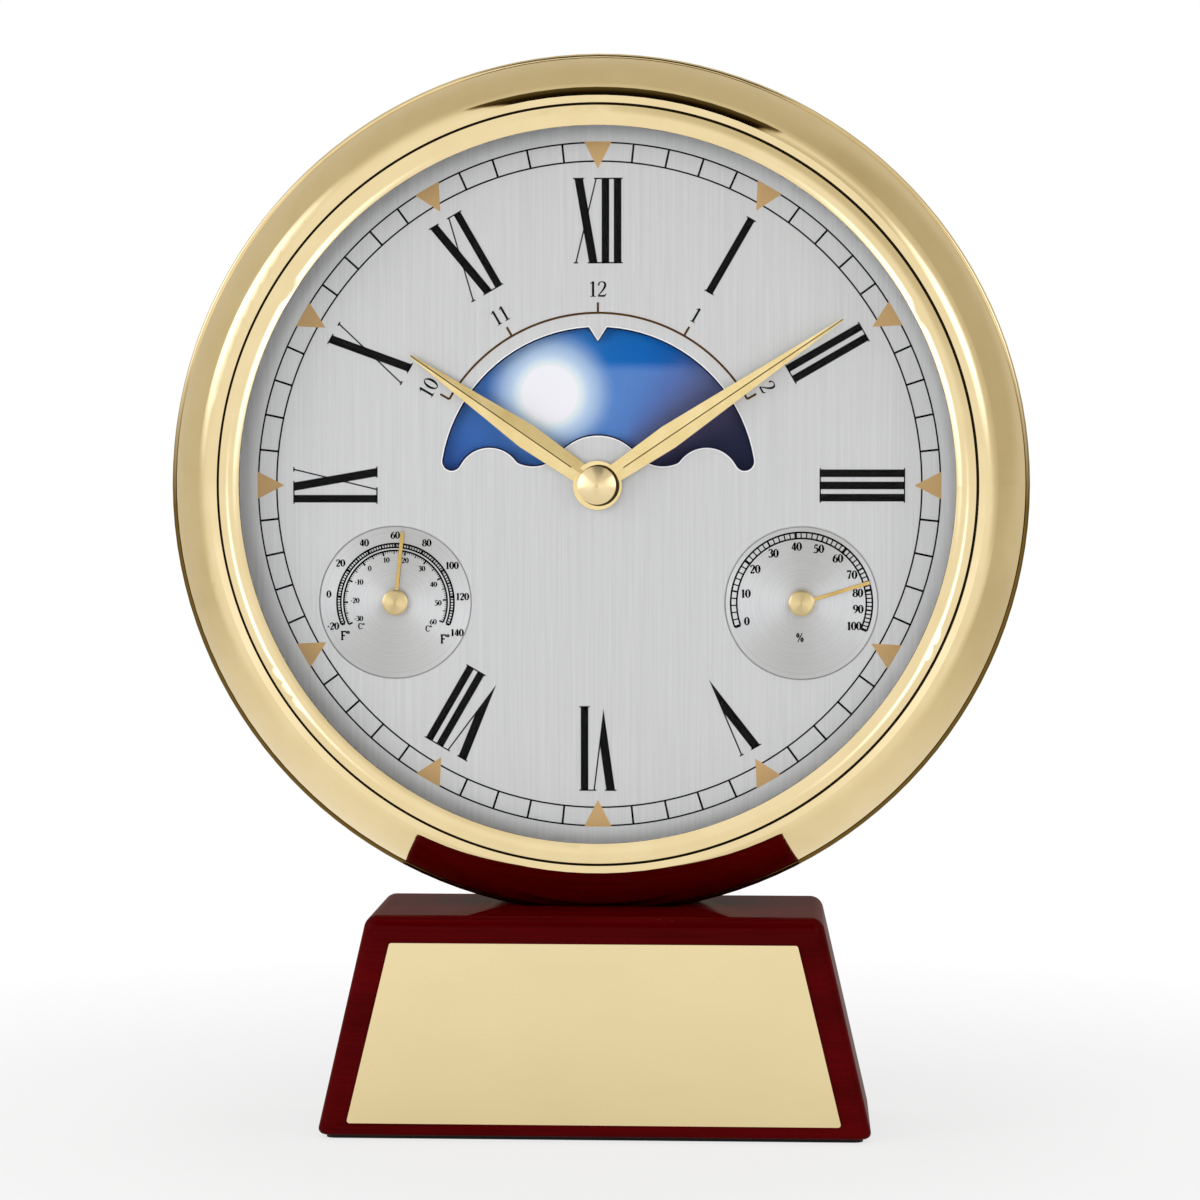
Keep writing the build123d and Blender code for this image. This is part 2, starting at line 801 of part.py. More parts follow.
with BuildPart() as train_bridge:
    with BuildSketch(facing(bridge_back)):
        with Locations((0, (bridge_low + bridge_high) / 2)):
            RectangleRounded(2 * bridge_half_w, bridge_high - bridge_low, bridge_corner_r)
        Circle(minute_arbor_r + run_gap, mode=Mode.SUBTRACT)
        with Locations(minute_spot, reduction_spot):
            Circle(set_arbor_r + run_gap, mode=Mode.SUBTRACT)
    extrude(amount=bridge_t)
    with BuildSketch(facing(bridge_front)):
        with Locations(*bridge_pillars):
            Circle(pillar_r)
    extrude(amount=bridge_front - plate_back)
    with BuildSketch(facing(bridge_back)):
        with Locations(third_spot):
            Circle(post_r)
    extrude(amount=bridge_back - third_back - post_end)
    with BuildSketch(facing(bridge_back)):
        with Locations(second_spot):
            Circle(post_r)
    extrude(amount=bridge_back - second_back - post_end)
    with BuildSketch(facing(bridge_back)):
        with Locations(*board_bosses):
            Circle(board_boss_r)
    extrude(amount=-board_lift)
save(train_bridge, "train_bridge")

# Stator frame, coil, board, crystal, battery and contacts
with BuildPart() as stator:
    with BuildSketch(facing(stator_back)):
        band_h = coil_z + coil_core_h / 2 - stator_low
        with Locations((stator_mid, stator_low + band_h / 2)):
            Rectangle(stator_right - stator_left, band_h)
        window_h = coil_z - coil_core_h / 2 - stator_low - stator_band
        with Locations((stator_mid, stator_low + stator_band + window_h / 2)):
            Rectangle(stator_right - stator_left - 2 * stator_arm_w, window_h, mode=Mode.SUBTRACT)
        with Locations(rotor_spot):
            Circle(magnet_r + stator_gap, mode=Mode.SUBTRACT)
    extrude(amount=stator_t)
save(stator, "stator")

with BuildPart() as coil:
    with BuildSketch(Plane(origin=(stator_mid, coil_y, head_z + coil_z), x_dir=(0, 1, 0), z_dir=(1, 0, 0))):
        Circle(coil_r - coil_neck)
    extrude(amount=coil_len / 2, both=True)
    for end in (-1, 1):
        flange_x = stator_mid + end * (coil_len - coil_flange_t) / 2
        with BuildSketch(Plane(origin=(flange_x, coil_y, head_z + coil_z), x_dir=(0, 1, 0), z_dir=(1, 0, 0))):
            Circle(coil_r)
        extrude(amount=coil_flange_t / 2, both=True)
    with BuildSketch(Plane(origin=(stator_mid, coil_y, head_z + coil_z), x_dir=(0, 1, 0), z_dir=(1, 0, 0))):
        Rectangle(stator_t + 2 * push_gap, coil_core_h + 2 * push_gap)
    extrude(amount=coil_len, both=True, mode=Mode.SUBTRACT)
save(coil, "coil")

board_front = bridge_back + board_lift
board_back = board_front + board_t

with BuildPart() as circuit_board:
    with BuildSketch(facing(board_back, (board_x, board_z))):
        Rectangle(board_w, board_h)
    extrude(amount=board_t)
save(circuit_board, "circuit_board")

crystal_z = head_z + board_z
with BuildPart() as crystal:
    with BuildSketch(Plane(origin=(board_x, board_back + crystal_r, crystal_z), x_dir=(0, 1, 0), z_dir=(1, 0, 0))):
        Circle(crystal_r)
    extrude(amount=crystal_len / 2, both=True)
save(crystal, "crystal")

battery_y = bay_floor + battery_r
battery_end = battery_len / 2
battery_plane = Plane(origin=(0, battery_y, head_z + bay_z), x_dir=(0, 1, 0), z_dir=(1, 0, 0))

with BuildPart() as battery:
    with BuildSketch(battery_plane):
        Circle(battery_r)
    extrude(amount=battery_end, both=True)
    with BuildSketch(battery_plane.offset(battery_end)):
        Circle(battery_nub_r)
    extrude(amount=battery_nub_len)
save(battery, "battery")

with BuildPart() as battery_contacts:
    with BuildSketch(battery_plane.offset(chamber_half)):
        Rectangle(contact_w, contact_w)
    extrude(amount=-contact_t)
    with BuildSketch(battery_plane.offset(chamber_half)):
        Circle(contact_dimple_r)
    extrude(amount=battery_end + battery_nub_len - chamber_half)
    with BuildSketch(battery_plane.offset(-chamber_half)):
        Rectangle(contact_w, contact_w)
    extrude(amount=contact_t)
    with BuildSketch(battery_plane.offset(-chamber_half)):
        Circle(contact_dimple_r)
    extrude(amount=chamber_half - battery_end)
save(battery_contacts, "battery_contacts")

# Going train, each wheel with its leaf pinion on a post
with BuildPart() as rotor:
    with BuildSketch(facing(magnet_front, rotor_spot)):
        add(gear(train_module, leaf_teeth, heading(rotor_spot, intermediate_spot)))
    extrude(amount=magnet_front - intermediate_front)
    with BuildSketch(facing(magnet_back, rotor_spot)):
        Circle(magnet_r)
    extrude(amount=magnet_t)
    with BuildSketch(facing(magnet_back, rotor_spot)):
        Circle(post_r + run_gap)
    extrude(amount=magnet_back - intermediate_front, mode=Mode.SUBTRACT)
save(rotor, "rotor")

with BuildPart() as intermediate_wheel:
    with BuildSketch(facing(intermediate_back, intermediate_spot)):
        add(gear(train_module, intermediate_teeth, heading(intermediate_spot, rotor_spot), gap=True))
    extrude(amount=wheel_t)
    with BuildSketch(facing(intermediate_front, intermediate_spot)):
        add(gear(train_module, intermediate_leaf_teeth, heading(intermediate_spot, second_spot)))
    extrude(amount=intermediate_front - second_front)
    with BuildSketch(facing(intermediate_back, intermediate_spot)):
        Circle(post_r + run_gap)
    extrude(amount=intermediate_back - second_front, mode=Mode.SUBTRACT)
save(intermediate_wheel, "intermediate_wheel")

with BuildPart() as second_wheel:
    with BuildSketch(facing(second_back, second_spot)):
        add(gear(train_module, second_teeth, heading(second_spot, intermediate_spot), gap=True))
    extrude(amount=wheel_t)
    with BuildSketch(facing(second_front, second_spot)):
        add(gear(train_module, leaf_teeth, heading(second_spot, third_spot)))
    extrude(amount=second_front - third_front)
    with BuildSketch(facing(second_back, second_spot)):
        Circle(post_r + run_gap)
    extrude(amount=second_back - third_front, mode=Mode.SUBTRACT)
save(second_wheel, "second_wheel")

with BuildPart() as third_wheel:
    with BuildSketch(facing(third_back, third_spot)):
        add(gear(train_module, third_teeth, heading(third_spot, second_spot), gap=True))
    extrude(amount=wheel_t)
    with BuildSketch(facing(third_front, third_spot)):
        add(gear(train_module, leaf_teeth, heading(third_spot, hub)))
    extrude(amount=third_front - centre_front)
    with BuildSketch(facing(third_back, third_spot)):
        Circle(post_r + run_gap)
    extrude(amount=third_back - centre_front, mode=Mode.SUBTRACT)
save(third_wheel, "third_wheel")

with BuildPart() as centre_wheel:
    with BuildSketch(facing(centre_back)):
        add(gear(train_module, centre_teeth, heading(hub, third_spot), gap=True))
        Circle(minute_arbor_r + run_gap, mode=Mode.SUBTRACT)
    extrude(amount=wheel_t)
save(centre_wheel, "centre_wheel")

# Motion works
with BuildPart() as minute_arbor:
    with BuildSketch(facing(centre_back)):
        Circle(minute_arbor_r)
    extrude(amount=centre_back - minute_hand_front)
    with BuildSketch(facing(minute_back)):
        add(gear(motion_module, cannon_teeth, heading(hub, minute_spot)))
    extrude(amount=wheel_t)
save(minute_arbor, "minute_arbor")

with BuildPart() as minute_wheel:
    with BuildSketch(facing(minute_back, minute_spot)):
        add(gear(motion_module, minute_teeth, heading(minute_spot, hub), gap=True))
    extrude(amount=wheel_t)
    with BuildSketch(facing(minute_front, minute_spot)):
        add(gear(hour_module, minute_pinion_teeth, heading(minute_spot, hub)))
    extrude(amount=minute_front - hour_front)
    with BuildSketch(facing(case_back + air + knob_h / 2, minute_spot)):
        Circle(set_arbor_r)
    extrude(amount=case_back + air + knob_h / 2 - plate_front)
save(minute_wheel, "minute_wheel")

with BuildPart() as hour_wheel:
    with BuildSketch(facing(hour_back)):
        add(gear(hour_module, hour_teeth, heading(hub, minute_spot), gap=True))
    extrude(amount=wheel_t)
    with BuildSketch(facing(hour_front)):
        add(gear(motion_module, moon_hour_teeth, heading(hub, reduction_spot)))
    extrude(amount=hour_front - reduction_front)
    with BuildSketch(facing(hour_back)):
        Circle(hour_pipe_r)
    extrude(amount=hour_back - hour_hand_back + eye_t)
    with BuildSketch(facing(hour_back)):
        Circle(hour_bore_r)
    extrude(amount=hour_back - hour_hand_back + eye_t, mode=Mode.SUBTRACT)
save(hour_wheel, "hour_wheel")

# Moon works
with BuildPart() as moon_reduction_wheel:
    with BuildSketch(facing(reduction_back, reduction_spot)):
        add(gear(motion_module, reduction_teeth, heading(reduction_spot, hub), gap=True))
    extrude(amount=wheel_t)
    with BuildSketch(facing(drive_back, reduction_spot)):
        add(gear(chain_module, reduction_pinion_teeth, chain_dir))
    extrude(amount=wheel_t)
    with BuildSketch(facing(bridge_back, reduction_spot)):
        Circle(set_arbor_r)
    extrude(amount=bridge_back - drive_front)
save(moon_reduction_wheel, "moon_reduction_wheel")

with BuildPart() as moon_idler:
    with BuildSketch(facing(drive_back, idler_spot)):
        add(gear(chain_module, idler_teeth, chain_dir + 180, gap=True))
        Circle(idler_post_r + run_gap, mode=Mode.SUBTRACT)
    extrude(amount=wheel_t)
save(moon_idler, "moon_idler")

with BuildPart() as moon_drive_wheel:
    with BuildSketch(facing(drive_back, moon_spot)):
        add(gear(chain_module, drive_teeth, chain_dir + 180))
        Circle(set_arbor_r + run_gap, mode=Mode.SUBTRACT)
    extrude(amount=wheel_t)
save(moon_drive_wheel, "moon_drive_wheel")

with BuildPart() as moon_pinion:
    with BuildSketch(facing(moon_back, moon_spot)):
        add(gear(moon_module, moon_pinion_teeth, heading(moon_spot, hub)))
    extrude(amount=moon_t)
    with BuildSketch(facing(cover_back + air + knob_h / 2, moon_spot)):
        Circle(set_arbor_r)
    extrude(amount=cover_back + air + knob_h / 2 - moon_back)
save(moon_pinion, "moon_pinion")

with BuildPart() as moon_disc:
    with BuildSketch(facing(moon_back)):
        add(gear(moon_module, moon_teeth, heading(hub, moon_spot), gap=True))
        Circle(bush_r + run_gap, mode=Mode.SUBTRACT)
    extrude(amount=moon_t)
save(moon_disc, "moon_disc")


def setting_knob(radius, back, spot):
    """Fluted knob that is pushed on an arbor, standing clear of the wall before it."""
    with BuildPart() as knob:
        with BuildSketch(facing(back + air + knob_h, spot)):
            Circle(radius)
            with PolarLocations(radius, flute_count):
                Circle(flute_r, mode=Mode.SUBTRACT)
        extrude(amount=knob_h)
        with BuildSketch(facing(back + air, spot)):
            Circle(set_arbor_r + push_gap)
        extrude(amount=-knob_h / 2, mode=Mode.SUBTRACT)
    return knob


time_knob = setting_knob(time_knob_r, case_back, minute_spot)
save(time_knob, "time_knob")
moon_knob = setting_knob(moon_knob_r, cover_back, moon_spot)
save(moon_knob, "moon_knob")


def hand(turn, back, length, widths, belly, eye_r, bore):
    """Ridged hand: a leaf outline cut by a roof along its length, with a flat eye."""
    root_w, belly_w, tip_w = widths
    across = (cos(radians(turn)), 0, -sin(radians(turn)))
    along = (sin(radians(turn)), 0, cos(radians(turn)))
    with BuildPart() as leaf:
        with BuildSketch(facing(back, turn=turn)):
            with BuildLine():
                Polyline((0, 0), (-root_w / 2, 0), (-belly_w / 2, belly), (-tip_w / 2, length), (0, length))
                mirror(about=Plane.YZ)
            make_face()
        extrude(amount=hand_t)
        with BuildSketch(Plane(origin=(0, back, head_z), x_dir=across, z_dir=along)):
            with BuildLine():
                Polyline((-belly_w / 2, 0), (belly_w / 2, 0), (belly_w / 2, -hand_edge_t), (0, -hand_t))
                Polyline((0, -hand_t), (-belly_w / 2, -hand_edge_t), (-belly_w / 2, 0))
            make_face()
        extrude(amount=length, mode=Mode.INTERSECT)
        with BuildSketch(facing(back)):
            Circle(eye_r)
        extrude(amount=eye_t)
        with BuildSketch(facing(back)):
            Circle(bore + push_gap)
        extrude(amount=hand_t, mode=Mode.SUBTRACT)
    return leaf


hour_widths = (hour_root_w, hour_hand_w, hour_tip_w)
hour_hand = hand(hour_turn, hour_hand_back, hour_len, hour_widths, hour_belly, hour_eye_r, hour_pipe_r)
save(hour_hand, "hour_hand")
minute_widths = (minute_root_w, minute_hand_w, minute_tip_w)
minute_hand = hand(
    minute_turn, minute_hand_back, minute_len, minute_widths, minute_belly, minute_eye_r, minute_arbor_r
)
save(minute_hand, "minute_hand")

cap_rim_y = minute_hand_front - cap_rim_h

with BuildPart() as hand_cap:
    with BuildSketch(half_section):
        with BuildLine():
            Polyline((0, minute_hand_front - cap_h), (0, minute_hand_front), (cap_r, minute_hand_front))
            Line((cap_r, minute_hand_front), (cap_r, cap_rim_y))
            TangentArc((0, minute_hand_front - cap_h), (cap_r, cap_rim_y), tangent=(1, 0))
        make_face()
    revolve(axis=head_axis)
save(hand_cap, "hand_cap")

# Gauges: cup with flange, scale plate, coiled strip, and a pointer on a spindle
recess_floor = dial_front + recess_deep
flange_front = recess_floor - flange_t
scale_front = flange_front - scale_t
pointer_back = scale_front - pointer_lift
cup_back = recess_floor + cup_deep
cup_in_r = cup_r - cup_wall
spindle_back = cup_back - cup_back_t
boss_front = spindle_back - cup_boss_h
strip_growth = (cup_in_r - strip_t / 2 - strip_start_r) / strip_halves


def gauge(name, reading):
    """The four pieces of a gauge, with its pointer at an angle clockwise from the top."""
    spot = gauge_spots[name]
    with BuildPart() as cup:
        with BuildSketch(facing(recess_floor, spot)):
            Circle(gauge_r - flange_inset)
            Circle(cup_in_r, mode=Mode.SUBTRACT)
        extrude(amount=flange_t)
        with BuildSketch(facing(cup_back, spot)):
            Circle(cup_r)
            Circle(cup_in_r, mode=Mode.SUBTRACT)
        extrude(amount=cup_deep)
        with BuildSketch(facing(cup_back, spot)):
            Circle(cup_in_r)
        extrude(amount=cup_back_t)
        with BuildSketch(facing(spindle_back, spot)):
            Circle(cup_boss_r)
            Circle(spindle_r + run_gap, mode=Mode.SUBTRACT)
        extrude(amount=cup_boss_h)
    save(cup, f"{name}_cup")
    with BuildPart() as scale:
        with BuildSketch(facing(flange_front, spot)):
            Circle(gauge_r)
            Circle(spindle_r + scale_hole_gap, mode=Mode.SUBTRACT)
        extrude(amount=scale_t)
    save(scale, f"{name}_scale")
    with BuildPart() as strip:
        with BuildSketch(facing(boss_front - air, spot)):
            with BuildLine():
                end = strip_start_r
                for half in range(strip_halves):
                    side = 1 if half % 2 == 0 else -1
                    start = end
                    end = start + strip_growth
                    middle = ((start - end) / 2 * side, (start + end) / 2 * side)
                    ThreePointArc((start * side, 0), middle, (-end * side, 0))
            trace(line_width=strip_t)
        extrude(amount=strip_w)
    save(strip, f"{name}_coil")
    with BuildPart() as pointer:
        with BuildSketch(facing(pointer_back, spot, reading)):
            with Locations((0, pointer_len / 2)):
                Rectangle(pointer_w, pointer_len)
        extrude(amount=pointer_t)
        with BuildSketch(facing(pointer_back, spot)):
            Circle(pointer_hub_r)
        extrude(amount=pointer_hub_h)
        with BuildSketch(facing(boss_front + cup_boss_h / 2, spot)):
            Circle(spindle_r)
        extrude(amount=boss_front + cup_boss_h / 2 - pointer_back)
    save(pointer, f"{name}_pointer")


gauge("thermometer", thermometer_reading)
gauge("hygrometer", hygrometer_reading)
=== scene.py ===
"""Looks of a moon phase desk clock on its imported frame. Metres; the front is -Y and up is +Z."""
from math import cos, pi, radians, sin

import bmesh
import bpy
from mathutils import Euler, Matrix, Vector


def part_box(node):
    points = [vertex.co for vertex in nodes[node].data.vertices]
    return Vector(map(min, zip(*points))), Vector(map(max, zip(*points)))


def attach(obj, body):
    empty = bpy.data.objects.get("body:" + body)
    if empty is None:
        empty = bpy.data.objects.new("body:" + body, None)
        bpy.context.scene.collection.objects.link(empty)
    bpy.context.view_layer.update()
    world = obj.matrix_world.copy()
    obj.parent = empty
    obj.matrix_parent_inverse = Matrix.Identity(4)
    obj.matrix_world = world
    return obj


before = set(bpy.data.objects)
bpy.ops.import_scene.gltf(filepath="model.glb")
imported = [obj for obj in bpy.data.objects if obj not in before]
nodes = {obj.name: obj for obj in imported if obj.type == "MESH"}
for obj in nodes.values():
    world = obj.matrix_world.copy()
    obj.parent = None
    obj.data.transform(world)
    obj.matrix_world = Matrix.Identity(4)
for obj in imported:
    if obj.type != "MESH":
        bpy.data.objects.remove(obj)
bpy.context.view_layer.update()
scene = bpy.context.scene
scene.view_settings.view_transform = "Standard"
MM = 0.001


def middle(node):
    """Centre of a CAD node's box at rest."""
    low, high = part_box(node)
    return (low + high) / 2


hub = middle("dial")
thermometer = middle("thermometer_scale")
hygrometer = middle("hygrometer_scale")
dial_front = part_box("dial")[0].y
scale_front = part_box("thermometer_scale")[0].y
pointer_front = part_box("thermometer_pointer")[0].y
cap_foot = (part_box("hand_cap")[1].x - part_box("hand_cap")[0].x) / 2

# Angles of the hands at rest, clockwise from the top
hour_turn = -55.33
minute_turn = 56.0

# Head, as radii about the dial's axis: the ring's inner wall, the groove, the bezel's bore and its outer seam
ring_wall_r = 78.43 * MM
groove_r = 83.1 * MM
groove_half = 0.34 * MM
bore_r = 83.6 * MM
seam_r = 94.1 * MM
# The groove lies in front of this level, and the bore behind it
bore_front = -9.5 * MM
# Levels between which the painted shade on the drum's front edge fades out
painted_shade_full = 1.9 * MM
painted_shade_end = 2.4 * MM
# Place of the moon on its disc, measured from the hub to the right and up
moon_x = -10.7 * MM
moon_z = 20.2 * MM


# Materials

def srgb(code):
    """Linear colour with alpha from an sRGB hex value."""
    parts = [int(code[i:i + 2], 16) / 255 for i in (0, 2, 4)]
    return [c / 12.92 if c <= 0.04045 else ((c + 0.055) / 1.055) ** 2.4 for c in parts] + [1.0]


def wire(tree, node, sockets):
    """Set or link a node's sockets; where the value is a node, its first output in use is linked."""
    for socket, value in sockets.items():
        if isinstance(value, bpy.types.Node):
            value = next(output for output in value.outputs if output.enabled)
        if isinstance(value, bpy.types.NodeSocket):
            tree.links.new(value, node.inputs[socket])
        else:
            node.inputs[socket].default_value = value


def add(tree, kind, sockets=None, **settings):
    """Add a node with its settings, and set or link its sockets."""
    node = tree.nodes.new(kind)
    for name, value in settings.items():
        setattr(node, name, value)
    wire(tree, node, sockets or {})
    return node


def finish(name, **sockets):
    """New material with its tree, its shader set up, and the object's own coordinates."""
    made = bpy.data.materials.new(name)
    made.use_nodes = True
    tree = made.node_tree
    shader = tree.nodes["Principled BSDF"]
    wire(tree, shader, {socket.replace("_", " "): value for socket, value in sockets.items()})
    place = add(tree, "ShaderNodeTexCoord").outputs["Object"]
    return made, tree, shader, place


def lacquered_mahogany():
    """Mahogany under clear polished lacquer: dark red with fine straight grain, and a thin shine over it."""
    made, tree, shader, place = finish(
        "lacquered_mahogany", Roughness=0.5, Specular_IOR_Level=0.0,
        Coat_Weight=0.16, Coat_Roughness=0.03, Coat_IOR=1.25)
    # Pores 30 mm long and 0.5 mm apart, along the base, over a broad figure of 60 by 9 mm
    grain = []
    for long, wide, detail in ((30, 0.5, 4.0), (60, 9, 2.0)):
        scale = [1 / (size * MM) for size in (long, wide, wide)]
        laid = add(tree, "ShaderNodeMapping", {"Vector": place, "Scale": scale})
        grain.append(add(tree, "ShaderNodeTexNoise", {"Vector": laid, "Scale": 1.0, "Detail": detail}))
    both = add(tree, "ShaderNodeMath", {0: grain[0], 1: grain[1]}, operation="ADD")
    even = add(tree, "ShaderNodeMapRange", {"Value": both, "From Min": 0.7, "From Max": 1.3})
    tone = add(tree, "ShaderNodeMix", {
        "Factor": even, "A": srgb("4C0002"), "B": srgb("640306")}, data_type="RGBA")
    wire(tree, shader, {"Base Color": tone})
    return made


def felt():
    """Black wool felt: short matted fibres, no shine."""
    made, tree, shader, place = finish(
        "felt", Roughness=0.95, Specular_IOR_Level=0.1, Sheen_Weight=0.4, Sheen_Roughness=0.6)
    fibres = add(tree, "ShaderNodeTexNoise", {"Vector": place, "Scale": 1 / (0.8 * MM), "Detail": 4.0})
    tone = add(tree, "ShaderNodeMix", {
        "Factor": fibres, "A": srgb("0C0C0C"), "B": srgb("262626")}, data_type="RGBA")
    bump = add(tree, "ShaderNodeBump", {"Height": fibres, "Strength": 0.5, "Distance": 0.3 * MM})
    wire(tree, shader, {"Base Color": tone, "Normal": bump})
    return made


def metal(name, dark, light, grain, roughness, lines=0.0, bare=1.0):
    """Metal, bare or lacquered: tone and shine vary with the marks of its last tool, sized in mm by axis."""
    made, tree, shader, place = finish(name, Metallic=bare)
    laid = add(tree, "ShaderNodeMapping", {"Vector": place, "Scale": [1 / (size * MM) for size in grain]})
    marks = add(tree, "ShaderNodeTexNoise", {"Vector": laid, "Scale": 1.0, "Detail": 3.0})
    even = add(tree, "ShaderNodeMapRange", {"Value": marks, "From Min": 0.3, "From Max": 0.7})
    tone = add(tree, "ShaderNodeMix", {"Factor": even, "A": srgb(dark), "B": srgb(light)}, data_type="RGBA")
    shine = add(tree, "ShaderNodeMapRange", {"Value": even, "To Min": roughness[0], "To Max": roughness[1]})
    wire(tree, shader, {"Base Color": tone, "Roughness": shine})
    if lines:
        bump = add(tree, "ShaderNodeBump", {"Height": marks, "Strength": lines, "Distance": 0.02 * MM})
        wire(tree, shader, {"Normal": bump})
    return made


def tinted(made, part, code):
    """Mix another colour into a metal, by a value from 0 to 1 that its tree works out."""
    tree = made.node_tree
    shader = tree.nodes["Principled BSDF"]
    plain = shader.inputs["Base Color"].links[0].from_socket
    tone = add(tree, "ShaderNodeMix", {"Factor": part, "A": plain, "B": srgb(code)}, data_type="RGBA")
    wire(tree, shader, {"Base Color": tone})
    return made


def place_in(made):
    """The object's own coordinates in a material that is made."""
    return made.node_tree.nodes["Texture Coordinate"].outputs["Object"]


def from_axis(tree, place, aside=0.0):
    """A point's offset from the dial's axis, or from a line to the right of it, square to that axis."""
    away = add(tree, "ShaderNodeVectorMath", {0: place, 1: hub + Vector((aside, 0, 0))}, operation="SUBTRACT")
    return add(tree, "ShaderNodeVectorMath", {0: away, 1: (1, 0, 1)}, operation="MULTIPLY")


def low_half(tree, height):
    """1 on the lower half of the head and 0 on the upper, with a soft change between them."""
    return add(tree, "ShaderNodeMapRange", {
        "Value": height, "From Min": hub.z - 5 * MM, "From Max": hub.z + 35 * MM,
        "To Min": 1.0, "To Max": 0.0})


def gilt_case():
    """Polished gilt of bezel and ring, with near-black painted shade in the groove and on the ring's wall,
    white in the bore.
    """
    made = metal("polished_gilt_brass", "ECD6A5", "F1DCAD", (9, 9, 9), (0.03, 0.07))
    tree = made.node_tree
    place = place_in(made)
    parts = add(tree, "ShaderNodeSeparateXYZ", {"Vector": place}).outputs
    radius = add(tree, "ShaderNodeVectorMath", {0: from_axis(tree, place)}, operation="LENGTH")
    # Painted shade: the ring's inner wall, and the groove in front of the glass, are coloured near black
    wall = add(tree, "ShaderNodeMath", {0: radius, 1: ring_wall_r}, operation="LESS_THAN")
    groove = add(tree, "ShaderNodeMath", {0: radius, 1: groove_r, 2: groove_half}, operation="COMPARE")
    front = add(tree, "ShaderNodeMath", {0: parts["Y"], 1: bore_front}, operation="LESS_THAN")
    groove = add(tree, "ShaderNodeMath", {0: groove, 1: front}, operation="MULTIPLY")
    dark = add(tree, "ShaderNodeMath", {0: wall, 1: groove}, operation="MAXIMUM")
    tinted(made, dark, "1C1608")
    # Painted shade along the bezel's outer edge, on the lower half of the head
    seam = add(tree, "ShaderNodeMath", {0: radius, 1: seam_r}, operation="GREATER_THAN")
    seam = add(tree, "ShaderNodeMath", {0: seam, 1: low_half(tree, parts["Z"])}, operation="MULTIPLY")
    tinted(made, seam, "3A2C0C")
    # The bore behind the glass is painted white and lightens the dial's edge
    bore = add(tree, "ShaderNodeMath", {0: radius, 1: bore_r}, operation="LESS_THAN")
    painted = add(tree, "ShaderNodeMath", {0: bore, 1: front}, operation="GREATER_THAN")
    bare = add(tree, "ShaderNodeMath", {0: 1.0, 1: painted}, operation="SUBTRACT")
    wire(tree, tree.nodes["Principled BSDF"], {"Metallic": bare})
    return tinted(made, painted, "ECECEC")


def gilt_drum():
    """Gilt of the drum, with olive painted shade along the lower half of its rounded front edge."""
    made = metal("gilt_drum_brass", "EAD3A1", "F2DDAF", (9, 9, 9), (0.09, 0.14))
    tree = made.node_tree
    parts = add(tree, "ShaderNodeSeparateXYZ", {"Vector": place_in(made)}).outputs
    # Painted shade: olive on the rounded front edge, on the lower half only
    edge = add(tree, "ShaderNodeMapRange", {
        "Value": parts["Y"], "From Min": painted_shade_full, "From Max": painted_shade_end, "To Min": 1.0, "To Max": 0.0})
    low = add(tree, "ShaderNodeMath", {0: edge, 1: low_half(tree, parts["Z"])}, operation="MULTIPLY")
    return tinted(made, low, "6E5626")


def hand_gilt(name, turn):
    """Gilt brass leaf of a hand, with a fine dark line on its crest and painted shadow round the cap's foot.
    """
    made = metal(name, "ECD293", "F6E0A8", (6, 6, 6), (0.10, 0.16))
    tree = made.node_tree
    away = from_axis(tree, place_in(made))
    ahead = Vector((sin(radians(turn)), 0, cos(radians(turn))))
    aside = Vector((ahead.z, 0, -ahead.x))
    along = add(tree, "ShaderNodeVectorMath", {0: away, 1: ahead}, operation="DOT_PRODUCT")
    across = add(tree, "ShaderNodeVectorMath", {0: away, 1: aside}, operation="DOT_PRODUCT")
    across = add(tree, "ShaderNodeMath", {0: across}, operation="ABSOLUTE")
    # The line is 0.2 mm wide and starts 7 mm from the axis
    line = add(tree, "ShaderNodeMapRange", {
        "Value": across, "From Min": 0.07 * MM, "From Max": 0.16 * MM, "To Min": 1.0, "To Max": 0.0})
    begun = add(tree, "ShaderNodeMath", {0: along, 1: 7 * MM}, operation="GREATER_THAN")
    drawn = add(tree, "ShaderNodeMath", {0: line, 1: begun}, operation="MULTIPLY")
    # Painted shadow of the cap: a dark ring round the cap's foot, set 0.3 mm to the right so it shows widest
    # there
    beside = from_axis(tree, place_in(made), 0.3 * MM)
    radius = add(tree, "ShaderNodeVectorMath", {0: beside}, operation="LENGTH")
    cap_shadow = add(tree, "ShaderNodeMath", {0: radius, 1: cap_foot, 2: 0.36 * MM}, operation="COMPARE")
    drawn = add(tree, "ShaderNodeMath", {0: drawn, 1: cap_shadow}, operation="MAXIMUM")
    return tinted(made, drawn, "3C2E10")


def faced_metal(name, centre, dark, light, roughness, bare=1.0):
    """Metal faced on a lathe: fine rings round its own centre that spread the light into a soft fan."""
    # The tangent follows the rings, and a quarter turn from it lays the fan as on turned work
    made, tree, shader, place = finish(name, Metallic=bare, Anisotropic=0.85, Anisotropic_Rotation=0.25)
    away = add(tree, "ShaderNodeVectorMath", {0: place, 1: centre}, operation="SUBTRACT")
    radius = add(tree, "ShaderNodeVectorMath", {0: away}, operation="LENGTH")
    # Tool marks are about 0.05 mm apart in life, drawn 0.28 mm apart to show
    step = add(tree, "ShaderNodeMath", {0: radius, 1: 1 / (0.28 * MM)}, operation="MULTIPLY")
    rings = add(tree, "ShaderNodeTexNoise", {"W": step, "Scale": 1.0, "Detail": 2.0}, noise_dimensions="1D")
    tone = add(tree, "ShaderNodeMix", {"Factor": rings, "A": srgb(dark), "B": srgb(light)}, data_type="RGBA")
    shine = add(tree, "ShaderNodeMapRange", {"Value": rings, "To Min": roughness[0], "To Max": roughness[1]})
    bump = add(tree, "ShaderNodeBump", {"Height": rings, "Strength": 0.08, "Distance": 0.03 * MM})
    cut = add(tree, "ShaderNodeTangent", direction_type="RADIAL", axis="Y")
    wire(tree, shader, {"Base Color": tone, "Roughness": shine, "Normal": bump, "Tangent": cut})
    return made


